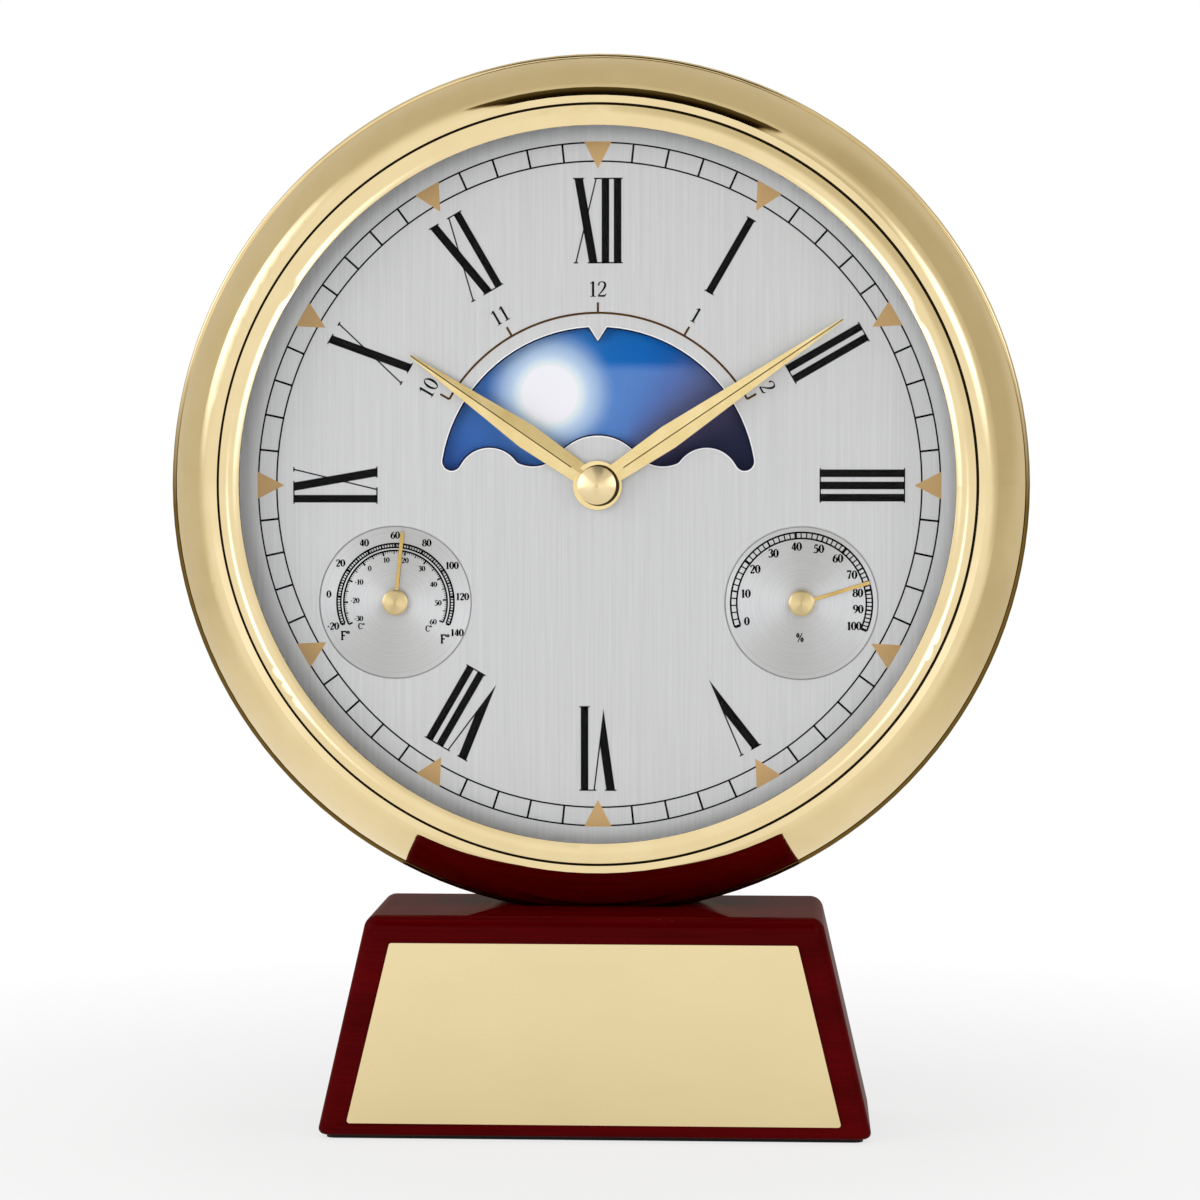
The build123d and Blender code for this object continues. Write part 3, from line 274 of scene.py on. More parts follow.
def night_sky():
    """Sky sprayed on the moon disc in soft blues, with two white moons opposite each other in a pale glow."""
    made, tree, shader, place = finish("night_sky", Roughness=0.5, Specular_IOR_Level=0.0)
    away = from_axis(tree, place)
    parts = add(tree, "ShaderNodeSeparateXYZ", {"Vector": away}).outputs
    # Half a turn of sky, from nine o'clock over twelve to three, and the same again below
    angle = add(tree, "ShaderNodeMath", {0: parts["X"], 1: parts["Z"]}, operation="ARCTAN2")
    turns = add(tree, "ShaderNodeMath", {0: angle, 1: 1 / pi, 2: 1.5}, operation="MULTIPLY_ADD")
    share = add(tree, "ShaderNodeMath", {0: turns}, operation="FRACT")
    # Colours sprayed near the hub and near the rim, from dusk blue over cobalt to violet night; the ends meet
    inner = ((0.0, "213260"), (0.03, "294C92"), (0.1, "345EA2"), (0.2, "3F6DB2"), (0.45, "4878B8"),
             (0.58, "527CBC"), (0.64, "4F75B5"), (0.69, "506AA6"), (0.75, "505A84"), (0.84, "3A3854"),
             (0.89, "22243E"), (0.97, "1A1C32"), (1.0, "213260"))
    outer = ((0.0, "203462"), (0.03, "264A8E"), (0.08, "2C5696"), (0.22, "446BA2"), (0.36, "4674AE"),
             (0.47, "2C69AE"), (0.53, "125EA8"), (0.6, "0A5BA8"), (0.66, "0A539E"), (0.75, "464B74"),
             (0.85, "3C3A4F"), (0.94, "1A203B"), (1.0, "203462"))
    skies = []
    for stops in (inner, outer):
        ramp = add(tree, "ShaderNodeValToRGB", {"Fac": share})
        band = ramp.color_ramp.elements
        while len(band) < len(stops):
            band.new(1.0)
        for stop, (at, code) in zip(band, stops):
            stop.position = at
            stop.color = srgb(code)
        skies.append(ramp)
    height = add(tree, "ShaderNodeMath", {0: parts["Z"]}, operation="ABSOLUTE")
    rim = add(tree, "ShaderNodeMapRange", {
        "Value": height, "From Min": 24.6 * MM, "From Max": 27.8 * MM}, interpolation_type="SMOOTHSTEP")
    edged = add(tree, "ShaderNodeMix", {"Factor": rim, "A": skies[0], "B": skies[1]}, data_type="RGBA")
    spray = add(tree, "ShaderNodeTexNoise", {"Vector": place, "Scale": 1 / (0.4 * MM), "Detail": 2.0})
    speck = add(tree, "ShaderNodeMapRange", {"Value": spray, "To Min": 0.78, "To Max": 1.22})
    tone = add(tree, "ShaderNodeMix", {
        "Factor": 1.0, "A": edged, "B": speck}, data_type="RGBA", blend_type="MULTIPLY")
    gaps = []
    for side in (1, -1):
        spot = (side * moon_x, 0, side * moon_z)
        gaps.append(add(tree, "ShaderNodeVectorMath", {0: away, 1: spot}, operation="DISTANCE"))
    gap = add(tree, "ShaderNodeMath", {0: gaps[0], 1: gaps[1]}, operation="MINIMUM")
    # Two glows and the moon over them: where each starts to fade and ends in mm, its most and its colour
    for start, end, most, soft, code in ((6.2, 15.0, 0.92, "SMOOTHSTEP", "C2D5E6"),
                                         (6.2, 8.8, 0.6, "SMOOTHSTEP", "E6E8E0"),
                                         (6.1, 6.5, 1.0, "LINEAR", "E2E2E8")):
        part = add(tree, "ShaderNodeMapRange", {
            "Value": gap, "From Min": start * MM, "From Max": end * MM, "To Min": most, "To Max": 0.0},
            interpolation_type=soft)
        tone = add(tree, "ShaderNodeMix", {"Factor": part, "A": tone, "B": srgb(code)}, data_type="RGBA")
    wire(tree, shader, {"Base Color": tone})
    return made


def clear_glass():
    """Flat glass, coated against glare so that little of the room shows in it; lamps pass through it."""
    made, tree, shader, _ = finish(
        "clear_glass", Base_Color=srgb("FFFFFF"), Roughness=0.0, Transmission_Weight=1.0, IOR=1.12)
    ray = add(tree, "ShaderNodeLightPath").outputs
    open_way = add(tree, "ShaderNodeBsdfTransparent", {"Color": srgb("FFFFFF")})
    pane = add(tree, "ShaderNodeMixShader", {0: ray["Is Shadow Ray"], 1: shader, 2: open_way})
    wire(tree, tree.nodes["Material Output"], {"Surface": pane})
    return made


def moulding(name, dark, light, roughness, grit):
    """Moulded or coated surface with a fine even grain, whose size in mm is given."""
    made, tree, shader, place = finish(name, Specular_IOR_Level=0.35)
    grain = add(tree, "ShaderNodeTexNoise", {"Vector": place, "Scale": 1 / (grit * MM), "Detail": 3.0})
    tone = add(tree, "ShaderNodeMix", {"Factor": grain, "A": srgb(dark), "B": srgb(light)}, data_type="RGBA")
    shine = add(tree, "ShaderNodeMapRange", {
        "Value": grain, "To Min": roughness - 0.08, "To Max": roughness + 0.08})
    bump = add(tree, "ShaderNodeBump", {"Height": grain, "Strength": 0.15, "Distance": 0.1 * MM})
    wire(tree, shader, {"Base Color": tone, "Roughness": shine, "Normal": bump})
    return made


def ink(name, code, shade, roughness=0.5):
    """Screen-printed ink: even colour with slight thin spots, nearly no shine; also used for painted
    highlight and painted shade.
    """
    made, tree, shader, place = finish(name, Roughness=roughness, Specular_IOR_Level=0.03)
    thin = add(tree, "ShaderNodeTexNoise", {"Vector": place, "Scale": 1 / (0.7 * MM), "Detail": 2.0})
    tone = add(tree, "ShaderNodeMix", {"Factor": thin, "A": srgb(code), "B": srgb(shade)}, data_type="RGBA")
    wire(tree, shader, {"Base Color": tone})
    return made


cap_gilt = faced_metal("faced_cap_brass", hub, "EAD3A1", "F2DDAF", (0.3, 0.34))
works_brass = metal("machined_brass", "BE9C58", "D8B874", (0.6, 0.6, 0.6), (0.25, 0.4), 0.1)
steel = metal("zinc_plated_steel", "98999B", "B4B5B7", (0.8, 0.8, 0.8), (0.28, 0.42), 0.1)
nickel = metal("nickel_plate", "BDBBB4", "D0CEC8", (2, 2, 2), (0.15, 0.25))
copper = metal("enamelled_copper_wire", "8A4420", "B8683A", (0.3, 8, 8), (0.25, 0.4), 0.3)
dial_brush = metal("upright_brushed_aluminium", "C1C1C0", "CBCBCA", (0.3, 4, 25), (0.34, 0.44), 0.04, 0.6)
plate_brass = metal("satin_lacquered_brass", "EAD7A7", "EFDCAC", (30, 30, 14), (0.24, 0.3))
pointer_gilt = metal("pointer_gilt_brass", "C2A25E", "D0B16E", (5, 5, 5), (0.16, 0.24))
black_abs = moulding("black_moulded_abs", "0E0E0F", "1A1A1B", 0.5, 0.5)
board_green = moulding("solder_mask_board", "0B3A1E", "14502B", 0.35, 1.0)
cell_sleeve = moulding("printed_cell_sleeve", "2C2E31", "383B3F", 0.3, 2.0)
black_ink = ink("black_dial_ink", "040404", "070707")
brown_ink = ink("brown_dial_ink", "452A0C", "503310")
tan_ink = ink("gilt_dial_ink", "BB9968", "C4A270")
# White strip that paints the highlight on the aperture's bevel
aperture_highlight_ink = ink("painted_highlight_ink", "F6F6F6", "FFFFFF", 0.3)
# Dark strip that paints the shade just inside the aperture's edge
aperture_shade_ink = ink("painted_shade_ink", "0A1024", "12183A")
rim_grey = ink("plate_rim_shade", "88888A", "98989A")
# Dark marks that paint the shade in the screws' cross recesses
recess_shade_ink = ink("painted_recess_shade", "1C1C1D", "2A2A2B")

finishes = {
    lacquered_mahogany(): ["wood_base"],
    felt(): ["base_felt"],
    plate_brass: ["engraving_plate"],
    gilt_case(): ["outer_bezel", "inner_ring"],
    gilt_drum(): ["case_drum"],
    cap_gilt: ["hand_cap"],
    hand_gilt("hour_hand_gilt", hour_turn): ["hour_hand"],
    hand_gilt("minute_hand_gilt", minute_turn): ["minute_hand"],
    pointer_gilt: ["thermometer_pointer", "hygrometer_pointer"],
    clear_glass(): ["glass"],
    dial_brush: ["dial"],
    night_sky(): ["moon_disc"],
    black_abs: ["back_cover", "movement_case", "time_knob", "moon_knob"],
    steel: ["base_screws", "base_washers", "clamp_bar", "bezel_screws", "cover_screws", "case_screws",
            "foot_screws", "minute_arbor", "stator", "rotor"],
    works_brass: ["movement_plate", "train_bridge", "dial_feet", "minute_wheel", "hour_wheel",
                  "moon_reduction_wheel", "moon_idler", "moon_drive_wheel", "moon_pinion",
                  "intermediate_wheel", "second_wheel", "third_wheel", "centre_wheel", "thermometer_cup",
                  "hygrometer_cup", "thermometer_coil", "hygrometer_coil"],
    copper: ["coil"],
    board_green: ["circuit_board"],
    nickel: ["battery_contacts", "crystal"],
    cell_sleeve: ["battery"],
}
for gauge, centre in (("thermometer", thermometer), ("hygrometer", hygrometer)):
    plate = faced_metal(f"faced_{gauge}_plate", centre, "BCBCBB", "D6D6D5", (0.4, 0.48), 0.85)
    finishes[plate] = [f"{gauge}_scale"]
for made, names in finishes.items():
    for name in names:
        for slot in nodes[name].material_slots:
            slot.material = made


# Dial print: thin raised marks, drawn in mm about a centre with x to the right and y up

def turned(points, turn):
    """Points laid with their y axis outward at an angle clockwise from the top."""
    c, s = cos(radians(turn)), sin(radians(turn))
    return [(x * c + y * s, y * c - x * s) for x, y in points]


def placed(name, grid, made, body):
    """Piece from a finished grid, riding on a body."""
    mesh = bpy.data.meshes.new(name)
    grid.to_mesh(mesh)
    grid.free()
    mesh.materials.append(made)
    piece = bpy.data.objects.new(name, mesh)
    scene.collection.objects.link(piece)
    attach(piece, body)


def printed(name, marks, centre, front, made, thick=0.03):
    """One piece of marks on a face that looks to the front; each mark is two sides and whether it closes."""
    grid = bmesh.new()
    for left, right, closed in marks:
        rows = []
        for side in (left, right):
            for depth in (front - thick * MM, front):
                rows.append([grid.verts.new((centre.x + x * MM, depth, centre.z + y * MM)) for x, y in side])
        left_front, left_back, right_front, right_back = rows
        count = len(left)
        for i in range(count if closed else count - 1):
            j = (i + 1) % count
            grid.faces.new((left_front[i], left_front[j], right_front[j], right_front[i]))
            grid.faces.new((left_back[i], right_back[i], right_back[j], left_back[j]))
            grid.faces.new((left_front[i], left_back[i], left_back[j], left_front[j]))
            grid.faces.new((right_front[i], right_front[j], right_back[j], right_back[i]))
        if not closed:
            grid.faces.new((left_front[0], right_front[0], right_back[0], left_back[0]))
            grid.faces.new((left_front[-1], left_back[-1], right_back[-1], right_front[-1]))
    bmesh.ops.recalc_face_normals(grid, faces=grid.faces)
    placed(name, grid, made, "clock")


def arc(inner, outer, start, end, steps):
    """Band between two radii over a span of angles."""
    closed = end - start >= 360
    turns = [start + (end - start) * i / steps for i in range(steps if closed else steps + 1)]
    return ([turned([(0, inner)], t)[0] for t in turns], [turned([(0, outer)], t)[0] for t in turns], closed)


def tick(inner, outer, turn, width):
    """Radial line between two radii."""
    left, right = ([(x, inner), (x, outer)] for x in (-width / 2, width / 2))
    return (turned(left, turn), turned(right, turn), False)


def bar(start, end, start_w, end_w):
    """Upright or slanting stroke with level ends, in a numeral's own frame."""
    (x0, y0), (x1, y1) = start, end
    left = [(x0 - start_w / 2, y0), (x1 - end_w / 2, y1)]
    right = [(x0 + start_w / 2, y0), (x1 + end_w / 2, y1)]
    return (left, right, False)


# Roman hours: feet and tops of the letters, stroke widths, serif lines, and half of each letter's room
numeral_low, numeral_high = 49.0, 67.5
bar_w, slant_w, hair_w = 1.68, 1.88, 0.32
serif_t, serif_over, hair_over, serif_join = 0.3, 0.32, 0.5, 0.5
half_space = {"I": 1.34, "X": 2.94, "V": 2.84}
# Half the slants' reach in an X, and the corners of a V beside its tip
x_slant, x_hair = 1.62, 2.23
v_outer, v_inner, v_hair, v_lift = -2.6, -0.65, 2.2, 0.4


def numeral(text, turn):
    """Roman numeral with its feet to the hub: thick bars, hairline slants and joined serif lines."""
    marks, tops, feet, pen = [], [], [], 0.0
    for i, letter in enumerate(text):
        pen += half_space[text[i - 1]] + half_space[letter] if i else 0.0
        if letter == "I":
            marks.append(bar((pen, numeral_low), (pen, numeral_high), bar_w, bar_w))
            tops.append((pen, bar_w / 2 + serif_over))
            feet.append((pen, bar_w / 2 + serif_over))
        elif letter == "X":
            marks.append(bar((pen + x_slant, numeral_low), (pen - x_slant, numeral_high), slant_w, slant_w))
            marks.append(bar((pen - x_hair, numeral_low), (pen + x_hair, numeral_high), hair_w, hair_w))
            tops += [(pen - x_slant, slant_w / 2 + serif_over), (pen + x_hair, hair_over)]
            feet += [(pen + x_slant, slant_w / 2 + serif_over), (pen - x_hair, hair_over)]
        else:
            tip, outer, inner, hair = numeral_low + v_lift, pen + v_outer, pen + v_inner, pen + v_hair
            tall = numeral_high - tip
            meet = tall * (inner - outer) / (hair - outer)
            cross = pen + (hair - pen) * meet / tall
            thick_left = [(outer, numeral_high), (pen, tip)]
            thick_right = [(inner, numeral_high), (cross, tip + meet)]
            marks.append((thick_left, thick_right, False))
            top = hair - hair_w / 2
            marks.append(bar((cross - hair_w / 2, tip + meet), (top, numeral_high), hair_w, hair_w))
            tops += [((outer + inner) / 2, (inner - outer) / 2 + serif_over), (top, hair_over)]
    for ends, level in ((tops, numeral_high), (feet, numeral_low)):
        spans = []
        for x, half in sorted(ends):
            if spans and x - half - spans[-1][1] < serif_join:
                spans[-1][1] = x + half
            else:
                spans.append([x - half, x + half])
        for low, high in spans:
            x = (low + high) / 2
            marks.append(bar((x, level - serif_t / 2), (x, level + serif_t / 2), high - low, high - low))
    xs = [x for left, right, closed in marks for x, y in left + right]
    shift = (min(xs) + max(xs)) / 2
    laid = []
    for left, right, closed in marks:
        sides = [turned([(x - shift, y) for x, y in side], turn) for side in (left, right)]
        laid.append((sides[0], sides[1], closed))
    return laid


def oval(x, y, rx, ry, thin, thick):
    """Closed pen stroke round an oval, thick at its sides."""
    turns = [2 * pi * i / 10 for i in range(10)]
    return (True, [(x + rx * cos(t), y + ry * sin(t), thin + (thick - thin) * cos(t) ** 2) for t in turns])


def line(*points):
    """Open pen stroke through some points."""
    return (False, points)


# Pen strokes of each character, one unit tall, as x, y and pen width
six = [line((0.45, 0.97, 0.04), (0.3, 0.89, 0.06), (0.15, 0.68, 0.1), (0.08, 0.4, 0.12)),
       oval(0.27, 0.3, 0.19, 0.28, 0.05, 0.12)]
strokes = {
    "0": [oval(0.27, 0.5, 0.2, 0.47, 0.05, 0.13)],
    "1": [line((0.26, 0.02, 0.12), (0.26, 0.99, 0.12)), line((0.1, 0.84, 0.04), (0.28, 0.96, 0.07)),
          line((0.11, 0.02, 0.045), (0.41, 0.02, 0.045))],
    "2": [line((0.07, 0.72, 0.1), (0.1, 0.89, 0.07), (0.25, 0.97, 0.05), (0.41, 0.88, 0.1),
               (0.43, 0.7, 0.12), (0.32, 0.45, 0.09), (0.16, 0.22, 0.06), (0.05, 0.07, 0.05)),
          line((0.04, 0.05, 0.09), (0.42, 0.05, 0.1)), line((0.41, 0.05, 0.08), (0.49, 0.2, 0.03))],
    "3": [line((0.07, 0.79, 0.09), (0.14, 0.93, 0.06), (0.26, 0.97, 0.05), (0.4, 0.88, 0.1),
               (0.4, 0.7, 0.11), (0.3, 0.57, 0.06), (0.18, 0.53, 0.04)),
          line((0.18, 0.53, 0.04), (0.34, 0.5, 0.07), (0.44, 0.36, 0.12), (0.43, 0.17, 0.12),
               (0.29, 0.03, 0.06), (0.14, 0.03, 0.06), (0.05, 0.13, 0.1))],
    "4": [line((0.35, 0.98, 0.05), (0.03, 0.3, 0.05)), line((0.02, 0.28, 0.08), (0.51, 0.28, 0.08)),
          line((0.36, 0.0, 0.12), (0.36, 0.98, 0.12))],
    "5": [line((0.13, 0.95, 0.09), (0.45, 0.95, 0.09)), line((0.13, 0.95, 0.05), (0.09, 0.55, 0.05)),
          line((0.09, 0.55, 0.05), (0.22, 0.6, 0.06), (0.39, 0.51, 0.1), (0.44, 0.32, 0.13),
               (0.37, 0.11, 0.1), (0.22, 0.02, 0.06), (0.1, 0.04, 0.07), (0.04, 0.13, 0.1))],
    "6": six,
    "7": [line((0.04, 0.94, 0.1), (0.48, 0.94, 0.09)), line((0.05, 0.96, 0.05), (0.03, 0.76, 0.03)),
          line((0.47, 0.94, 0.05), (0.33, 0.55, 0.07), (0.22, 0.0, 0.12))],
    "8": [oval(0.27, 0.75, 0.16, 0.21, 0.05, 0.1), oval(0.27, 0.28, 0.2, 0.25, 0.05, 0.12)],
    "9": [(closed, [(0.54 - x, 1 - y, w) for x, y, w in points]) for closed, points in six],
    "-": [line((0.04, 0.4, 0.08), (0.28, 0.4, 0.08))],
    "F": [line((0.14, 0.02, 0.12), (0.14, 0.98, 0.12)), line((0.02, 0.95, 0.09), (0.54, 0.95, 0.09)),
          line((0.52, 0.98, 0.08), (0.52, 0.74, 0.06)), line((0.14, 0.5, 0.09), (0.42, 0.5, 0.09)),
          line((0.02, 0.03, 0.07), (0.28, 0.03, 0.07))],
    "C": [line((0.6, 0.74, 0.1), (0.52, 0.92, 0.08), (0.36, 0.98, 0.07), (0.17, 0.86, 0.11),
               (0.09, 0.5, 0.14), (0.17, 0.14, 0.11), (0.36, 0.02, 0.07), (0.54, 0.1, 0.07),
               (0.61, 0.24, 0.06))],
    "°": [oval(0.13, 0.86, 0.1, 0.11, 0.08, 0.08)],
    "%": [oval(0.15, 0.74, 0.1, 0.21, 0.05, 0.08), oval(0.59, 0.26, 0.1, 0.21, 0.05, 0.08),
          line((0.14, 0.0, 0.05), (0.6, 1.0, 0.05))],
}
digit_width = 0.56
widths = {"1": 0.5, "-": 0.34, "F": 0.6, "C": 0.68, "°": 0.28, "%": 0.76}


def curve(points, closed, steps=4):
    """Smooth line through the points of a pen stroke."""
    count = len(points)
    if count < 3:
        return points
    smooth = []
    for i in range(count if closed else count - 1):
        near = [points[(i + k) % count if closed else min(max(i + k, 0), count - 1)] for k in (-1, 0, 1, 2)]
        for step in range(steps):
            t = step / steps
            smooth.append([(2 * b + (c - a) * t + (2 * a - 5 * b + 4 * c - d) * t ** 2
                            + (3 * b - a - 3 * c + d) * t ** 3) / 2 for a, b, c, d in zip(*near)])
    return smooth if closed else smooth + [points[-1]]


def lettering(text, height, at, turn=0, weight=1.0, stretch=1.17):
    """Characters of a height, pen weight and stretch, centred at a point of the dial and turned with it."""
    marks = []
    pen = -stretch * sum(widths.get(sign, digit_width) for sign in text) / 2
    for sign in text:
        for closed, points in strokes[sign]:
            path = [(x * stretch, y, w * weight) for x, y, w in curve(points, closed)]
            count = len(path)
            left, right = [], []
            for i, (x, y, w) in enumerate(path):
                before = path[i - 1] if closed or i else path[0]
                after = path[(i + 1) % count] if closed or i + 1 < count else path[-1]
                along = Vector((after[0] - before[0], after[1] - before[1])).normalized()
                for side, half in ((left, w / 2), (right, -w / 2)):
                    side.append(((pen + x - along.y * half) * height, (y - 0.5 + along.x * half) * height))
            sides = [[(x + at[0], y + at[1]) for x, y in turned(side, turn)] for side in (left, right)]
            marks.append((sides[0], sides[1], closed))
        pen += stretch * widths.get(sign, digit_width)
    return marks


# Minute track, hour marks and Roman hours
track_in, track_out = 71.3, 75.4
track_half, minute_w = 0.18, 0.46
track = [arc(radius - track_half, radius + track_half, 0, 360, 180) for radius in (track_in, track_out)]
track += [tick(track_in, track_out, 6 * i, minute_w) for i in range(60) if i % 5]
printed("minute_track", track, hub, dial_front, black_ink)
mark_half, mark_out = 3.05, 75.6
tip_half, tip_in = 0.03, 69.7
hour_marks = []
for i in range(12):
    left, right = ([(side * mark_half, mark_out), (side * tip_half, tip_in)] for side in (-1, 1))
    hour_marks.append((turned(left, 30 * i), turned(right, 30 * i), False))
printed("hour_marks", hour_marks, hub, dial_front, tan_ink, 0.05)
hours = {"XII": 0, "I": 30, "II": 60, "III": 90, "V": 150, "VI": 180, "VII": 210, "IX": 270, "X": 300,
         "XI": 330}
letters = [mark for text, turn in hours.items() for mark in numeral(text, turn)]
printed("hour_numerals", letters, hub, dial_front, black_ink)

# Scale over the moon: a line with five marks, and their numbers outside it
scale_r, scale_half, scale_reach = 38.0, 0.25, 60
scale_tick, scale_tick_w = 2.3, 0.5
number_r, number_h, number_weight = 43.25, 3.4, 1.25
moon_line = [arc(scale_r - scale_half, scale_r + scale_half, -scale_reach, scale_reach, 60)]
moon_hours = []
for text, turn in (("10", -60), ("11", -30), ("12", 0), ("1", 30), ("2", 60)):
    moon_line.append(tick(scale_r, scale_r + scale_tick, turn, scale_tick_w))
    moon_hours += lettering(text, number_h, turned([(0, number_r)], turn)[0], turn, number_weight)
printed("moon_scale_line", moon_line, hub, dial_front, brown_ink)
printed("moon_scale_numbers", moon_hours, hub, dial_front, black_ink)


# Painted highlight and painted shade along the edges of the moon aperture, which lies within 40 mm of the hub

aperture_reach = 40


def aperture_loop():
    """Outline of the moon aperture on the dial's front face, in mm about the hub."""
    plate = bmesh.new()
    plate.from_mesh(nodes["dial"].data)
    bmesh.ops.remove_doubles(plate, verts=plate.verts, dist=0.001 * MM)
    rim = [e for e in plate.edges if all(abs(v.co.y - dial_front) < 0.01 * MM for v in e.verts)
           and any(abs(f.normal.y) < 0.5 for f in e.link_faces)]
    left = set(rim)
    loops = []
    for edge in rim:
        if edge not in left:
            continue
        left.discard(edge)
        start, vert = edge.verts
        loop = [start, vert]
        while True:
            step = next((e for e in vert.link_edges if e in left), None)
            if step is None:
                break
            left.discard(step)
            vert = step.other_vert(vert)
            loop.append(vert)
        loops.append([((v.co.x - hub.x) / MM, (v.co.z - hub.z) / MM) for v in loop[:-1]])
    plate.free()
    # Of the loops within the moon scale, the aperture's has the most points
    near = [loop for loop in loops if max(x * x + y * y for x, y in loop) < aperture_reach ** 2]
    return max(near, key=len)


def offset(loop, gap):
    """Closed loop moved sideways by a gap, to the outside where the gap is positive."""
    area = sum(a[0] * b[1] - b[0] * a[1] for a, b in zip(loop, loop[1:] + loop[:1]))
    side = gap if area > 0 else -gap
    moved = []
    for i, (x, y) in enumerate(loop):
        before, after = loop[i - 1], loop[(i + 1) % len(loop)]
        along = Vector((after[0] - before[0], after[1] - before[1])).normalized()
        moved.append((x + along.y * side, y - along.x * side))
    return moved


# A white strip of painted highlight outside the opening's edge, and a dark strip of painted shade reaching
# 0.3 mm into the opening
opening = aperture_loop()
for name, near, far, made, thick in (("aperture_painted_highlight", 0.02, 0.22, aperture_highlight_ink, 0.02),
                                     ("aperture_painted_shade", -0.3, 0.04, aperture_shade_ink, 0.04)):
    edge_line = (offset(opening, near), offset(opening, far), True)
    printed(name, [edge_line], hub, dial_front, made, thick)


# Thermometer: Fahrenheit ladder with numbers outside, Celsius line with numbers inside

def fahrenheit(reading):
    """Angle of a Fahrenheit reading on the thermometer, clockwise from the top."""
    return (reading - 60) * 225 / 160


gauge_steps = 90
plate_rim = (16.7, 16.88, 0, 360, 120)
# Radii of the ladder's rails and rungs, and of the Celsius line and its marks
warm_rails = ((12.0, 12.36), (12.82, 13.22))
warm_rungs = (12.2, 13.0)
celsius_line = (11.31, 11.69)
celsius_r = 11.5
cold, hot = fahrenheit(-20), fahrenheit(140)
warm = [arc(*rail, cold, hot, gauge_steps) for rail in warm_rails]
for degree in range(-20, 142, 2):
    wide = 0.55 if degree % 20 == 0 else 0.38 if degree % 10 == 0 else 0.24
    warm.append(tick(*warm_rungs, fahrenheit(degree), wide))
warm.append(arc(*celsius_line, fahrenheit(-22), hot, gauge_steps))
for degree in range(-30, 61):
    inner, wide = (10.55, 0.4) if degree % 10 == 0 else (10.72, 0.26) if degree % 5 == 0 else (10.95, 0.14)
    warm.append(tick(inner, celsius_r, fahrenheit(degree * 1.8 + 32), wide))
outer_numbers = {"-20": (-13.9, -5.3), "0": (-14.8, 1.8), "20": (-12.2, 8.7), "40": (-6.9, 13.2),
                 "60": (0, 14.9), "80": (7.0, 13.2), "100": (12.6, 8.2), "120": (14.9, 1.3),
                 "140": (13.7, -6.7)}
inner_numbers = {"-30": (-8.2, -3.6), "-20": (-9.0, 0.4), "-10": (-8.1, 4.5), "0": (-5.7, 7.5),
                 "10": (-2.0, 9.4), "20": (2.2, 9.3), "30": (5.9, 7.5), "40": (8.5, 4.0), "50": (9.5, -0.1),
                 "60": (8.4, -4.3)}
for numbers, height in ((outer_numbers, 1.55), (inner_numbers, 1.15)):
    for text, at in numbers.items():
        warm += lettering(text, height, at, weight=2.25)
for text, height, at in (("F°", 1.95, (-11.2, -7.4)), ("F°", 1.95, (11.0, -8.1)),
                         ("C°", 1.3, (-7.6, -5.3)), ("C°", 1.3, (7.4, -5.8))):
    warm += lettering(text, height, at, weight=1.8)
printed("thermometer_print", warm, thermometer, scale_front, black_ink)
printed("thermometer_rim", [arc(*plate_rim)], thermometer, scale_front, rim_grey)

# Hygrometer: one ladder with numbers inside, closer together at the damp end
damp_turns = (-110, -80, -53, -29, -5, 18, 39, 60, 79, 96, 113)


def humidity(reading):
    """Angle of a humidity reading on the hygrometer, clockwise from the top."""
    step = min(int(reading // 10), 9)
    return damp_turns[step] + (damp_turns[step + 1] - damp_turns[step]) * (reading / 10 - step)


damp_rails = ((14.08, 14.46), (15.41, 15.8))
damp_rungs = (14.3, 15.6)
dry, wet = damp_turns[0], damp_turns[-1]
damp = [arc(*rail, dry, wet, gauge_steps) for rail in damp_rails]
for reading in range(0, 102, 2):
    wide = 0.6 if reading % 20 == 0 else 0.4 if reading % 10 == 0 else 0.28
    damp.append(tick(*damp_rungs, humidity(reading), wide))
damp_numbers = {"0": (-12.0, -4.0), "10": (-12.3, 2.1), "20": (-10.2, 7.5), "30": (-6.2, 11.0),
                "40": (-1.1, 12.5), "50": (3.8, 12.0), "60": (8.0, 9.9), "70": (11.1, 6.3), "80": (12.4, 2.3),
                "90": (12.5, -1.3), "100": (11.6, -5.0)}
for text, at in damp_numbers.items():
    damp += lettering(text, 1.8, at, weight=2.2, stretch=1.12)
damp += lettering("%", 2.0, (-0.3, -7.6), weight=2.2, stretch=1.05)
printed("hygrometer_print", damp, hygrometer, scale_front, black_ink)
printed("hygrometer_rim", [arc(*plate_rim)], hygrometer, scale_front, rim_grey)

# Cross slots in the heads of the back cover's screws, flat dark marks of painted shade for the recesses, each
# turned as the driver left it
screw_low, screw_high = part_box("cover_screws")
head_r, slot_r, slot_w, slot_t = 2.6, 1.5, 0.5, 0.03
spread = (screw_high.x - screw_low.x) / MM / 2 - head_r
crosses = []
for x, y, turn in ((spread, spread, 12), (spread, -spread, 50), (-spread, -spread, 77),
                   (-spread, spread, 31)):
    for near, far, quarter in ((-slot_r, slot_r, 0), (slot_w / 2, slot_r, 90), (slot_w / 2, slot_r, 270)):
        left, right, closed = tick(near, far, turn + quarter, slot_w)
        crosses.append(([(a + x, b + y) for a, b in left], [(a + x, b + y) for a, b in right], closed))
printed("cover_screw_slots", crosses, hub, screw_high.y + slot_t * MM, recess_shade_ink, slot_t)

# Pointer hubs: a faced cap with a bevelled edge and a centre mark, as radius and height in mm from the middle
cap_profile = ((0.16, 0.12), (0.3, 0.26), (1.4, 0.25), (2.42, 0.22), (2.82, 0.0), (2.7, -0.1))
cap_sides = 64
cap_sharp = radians(15)


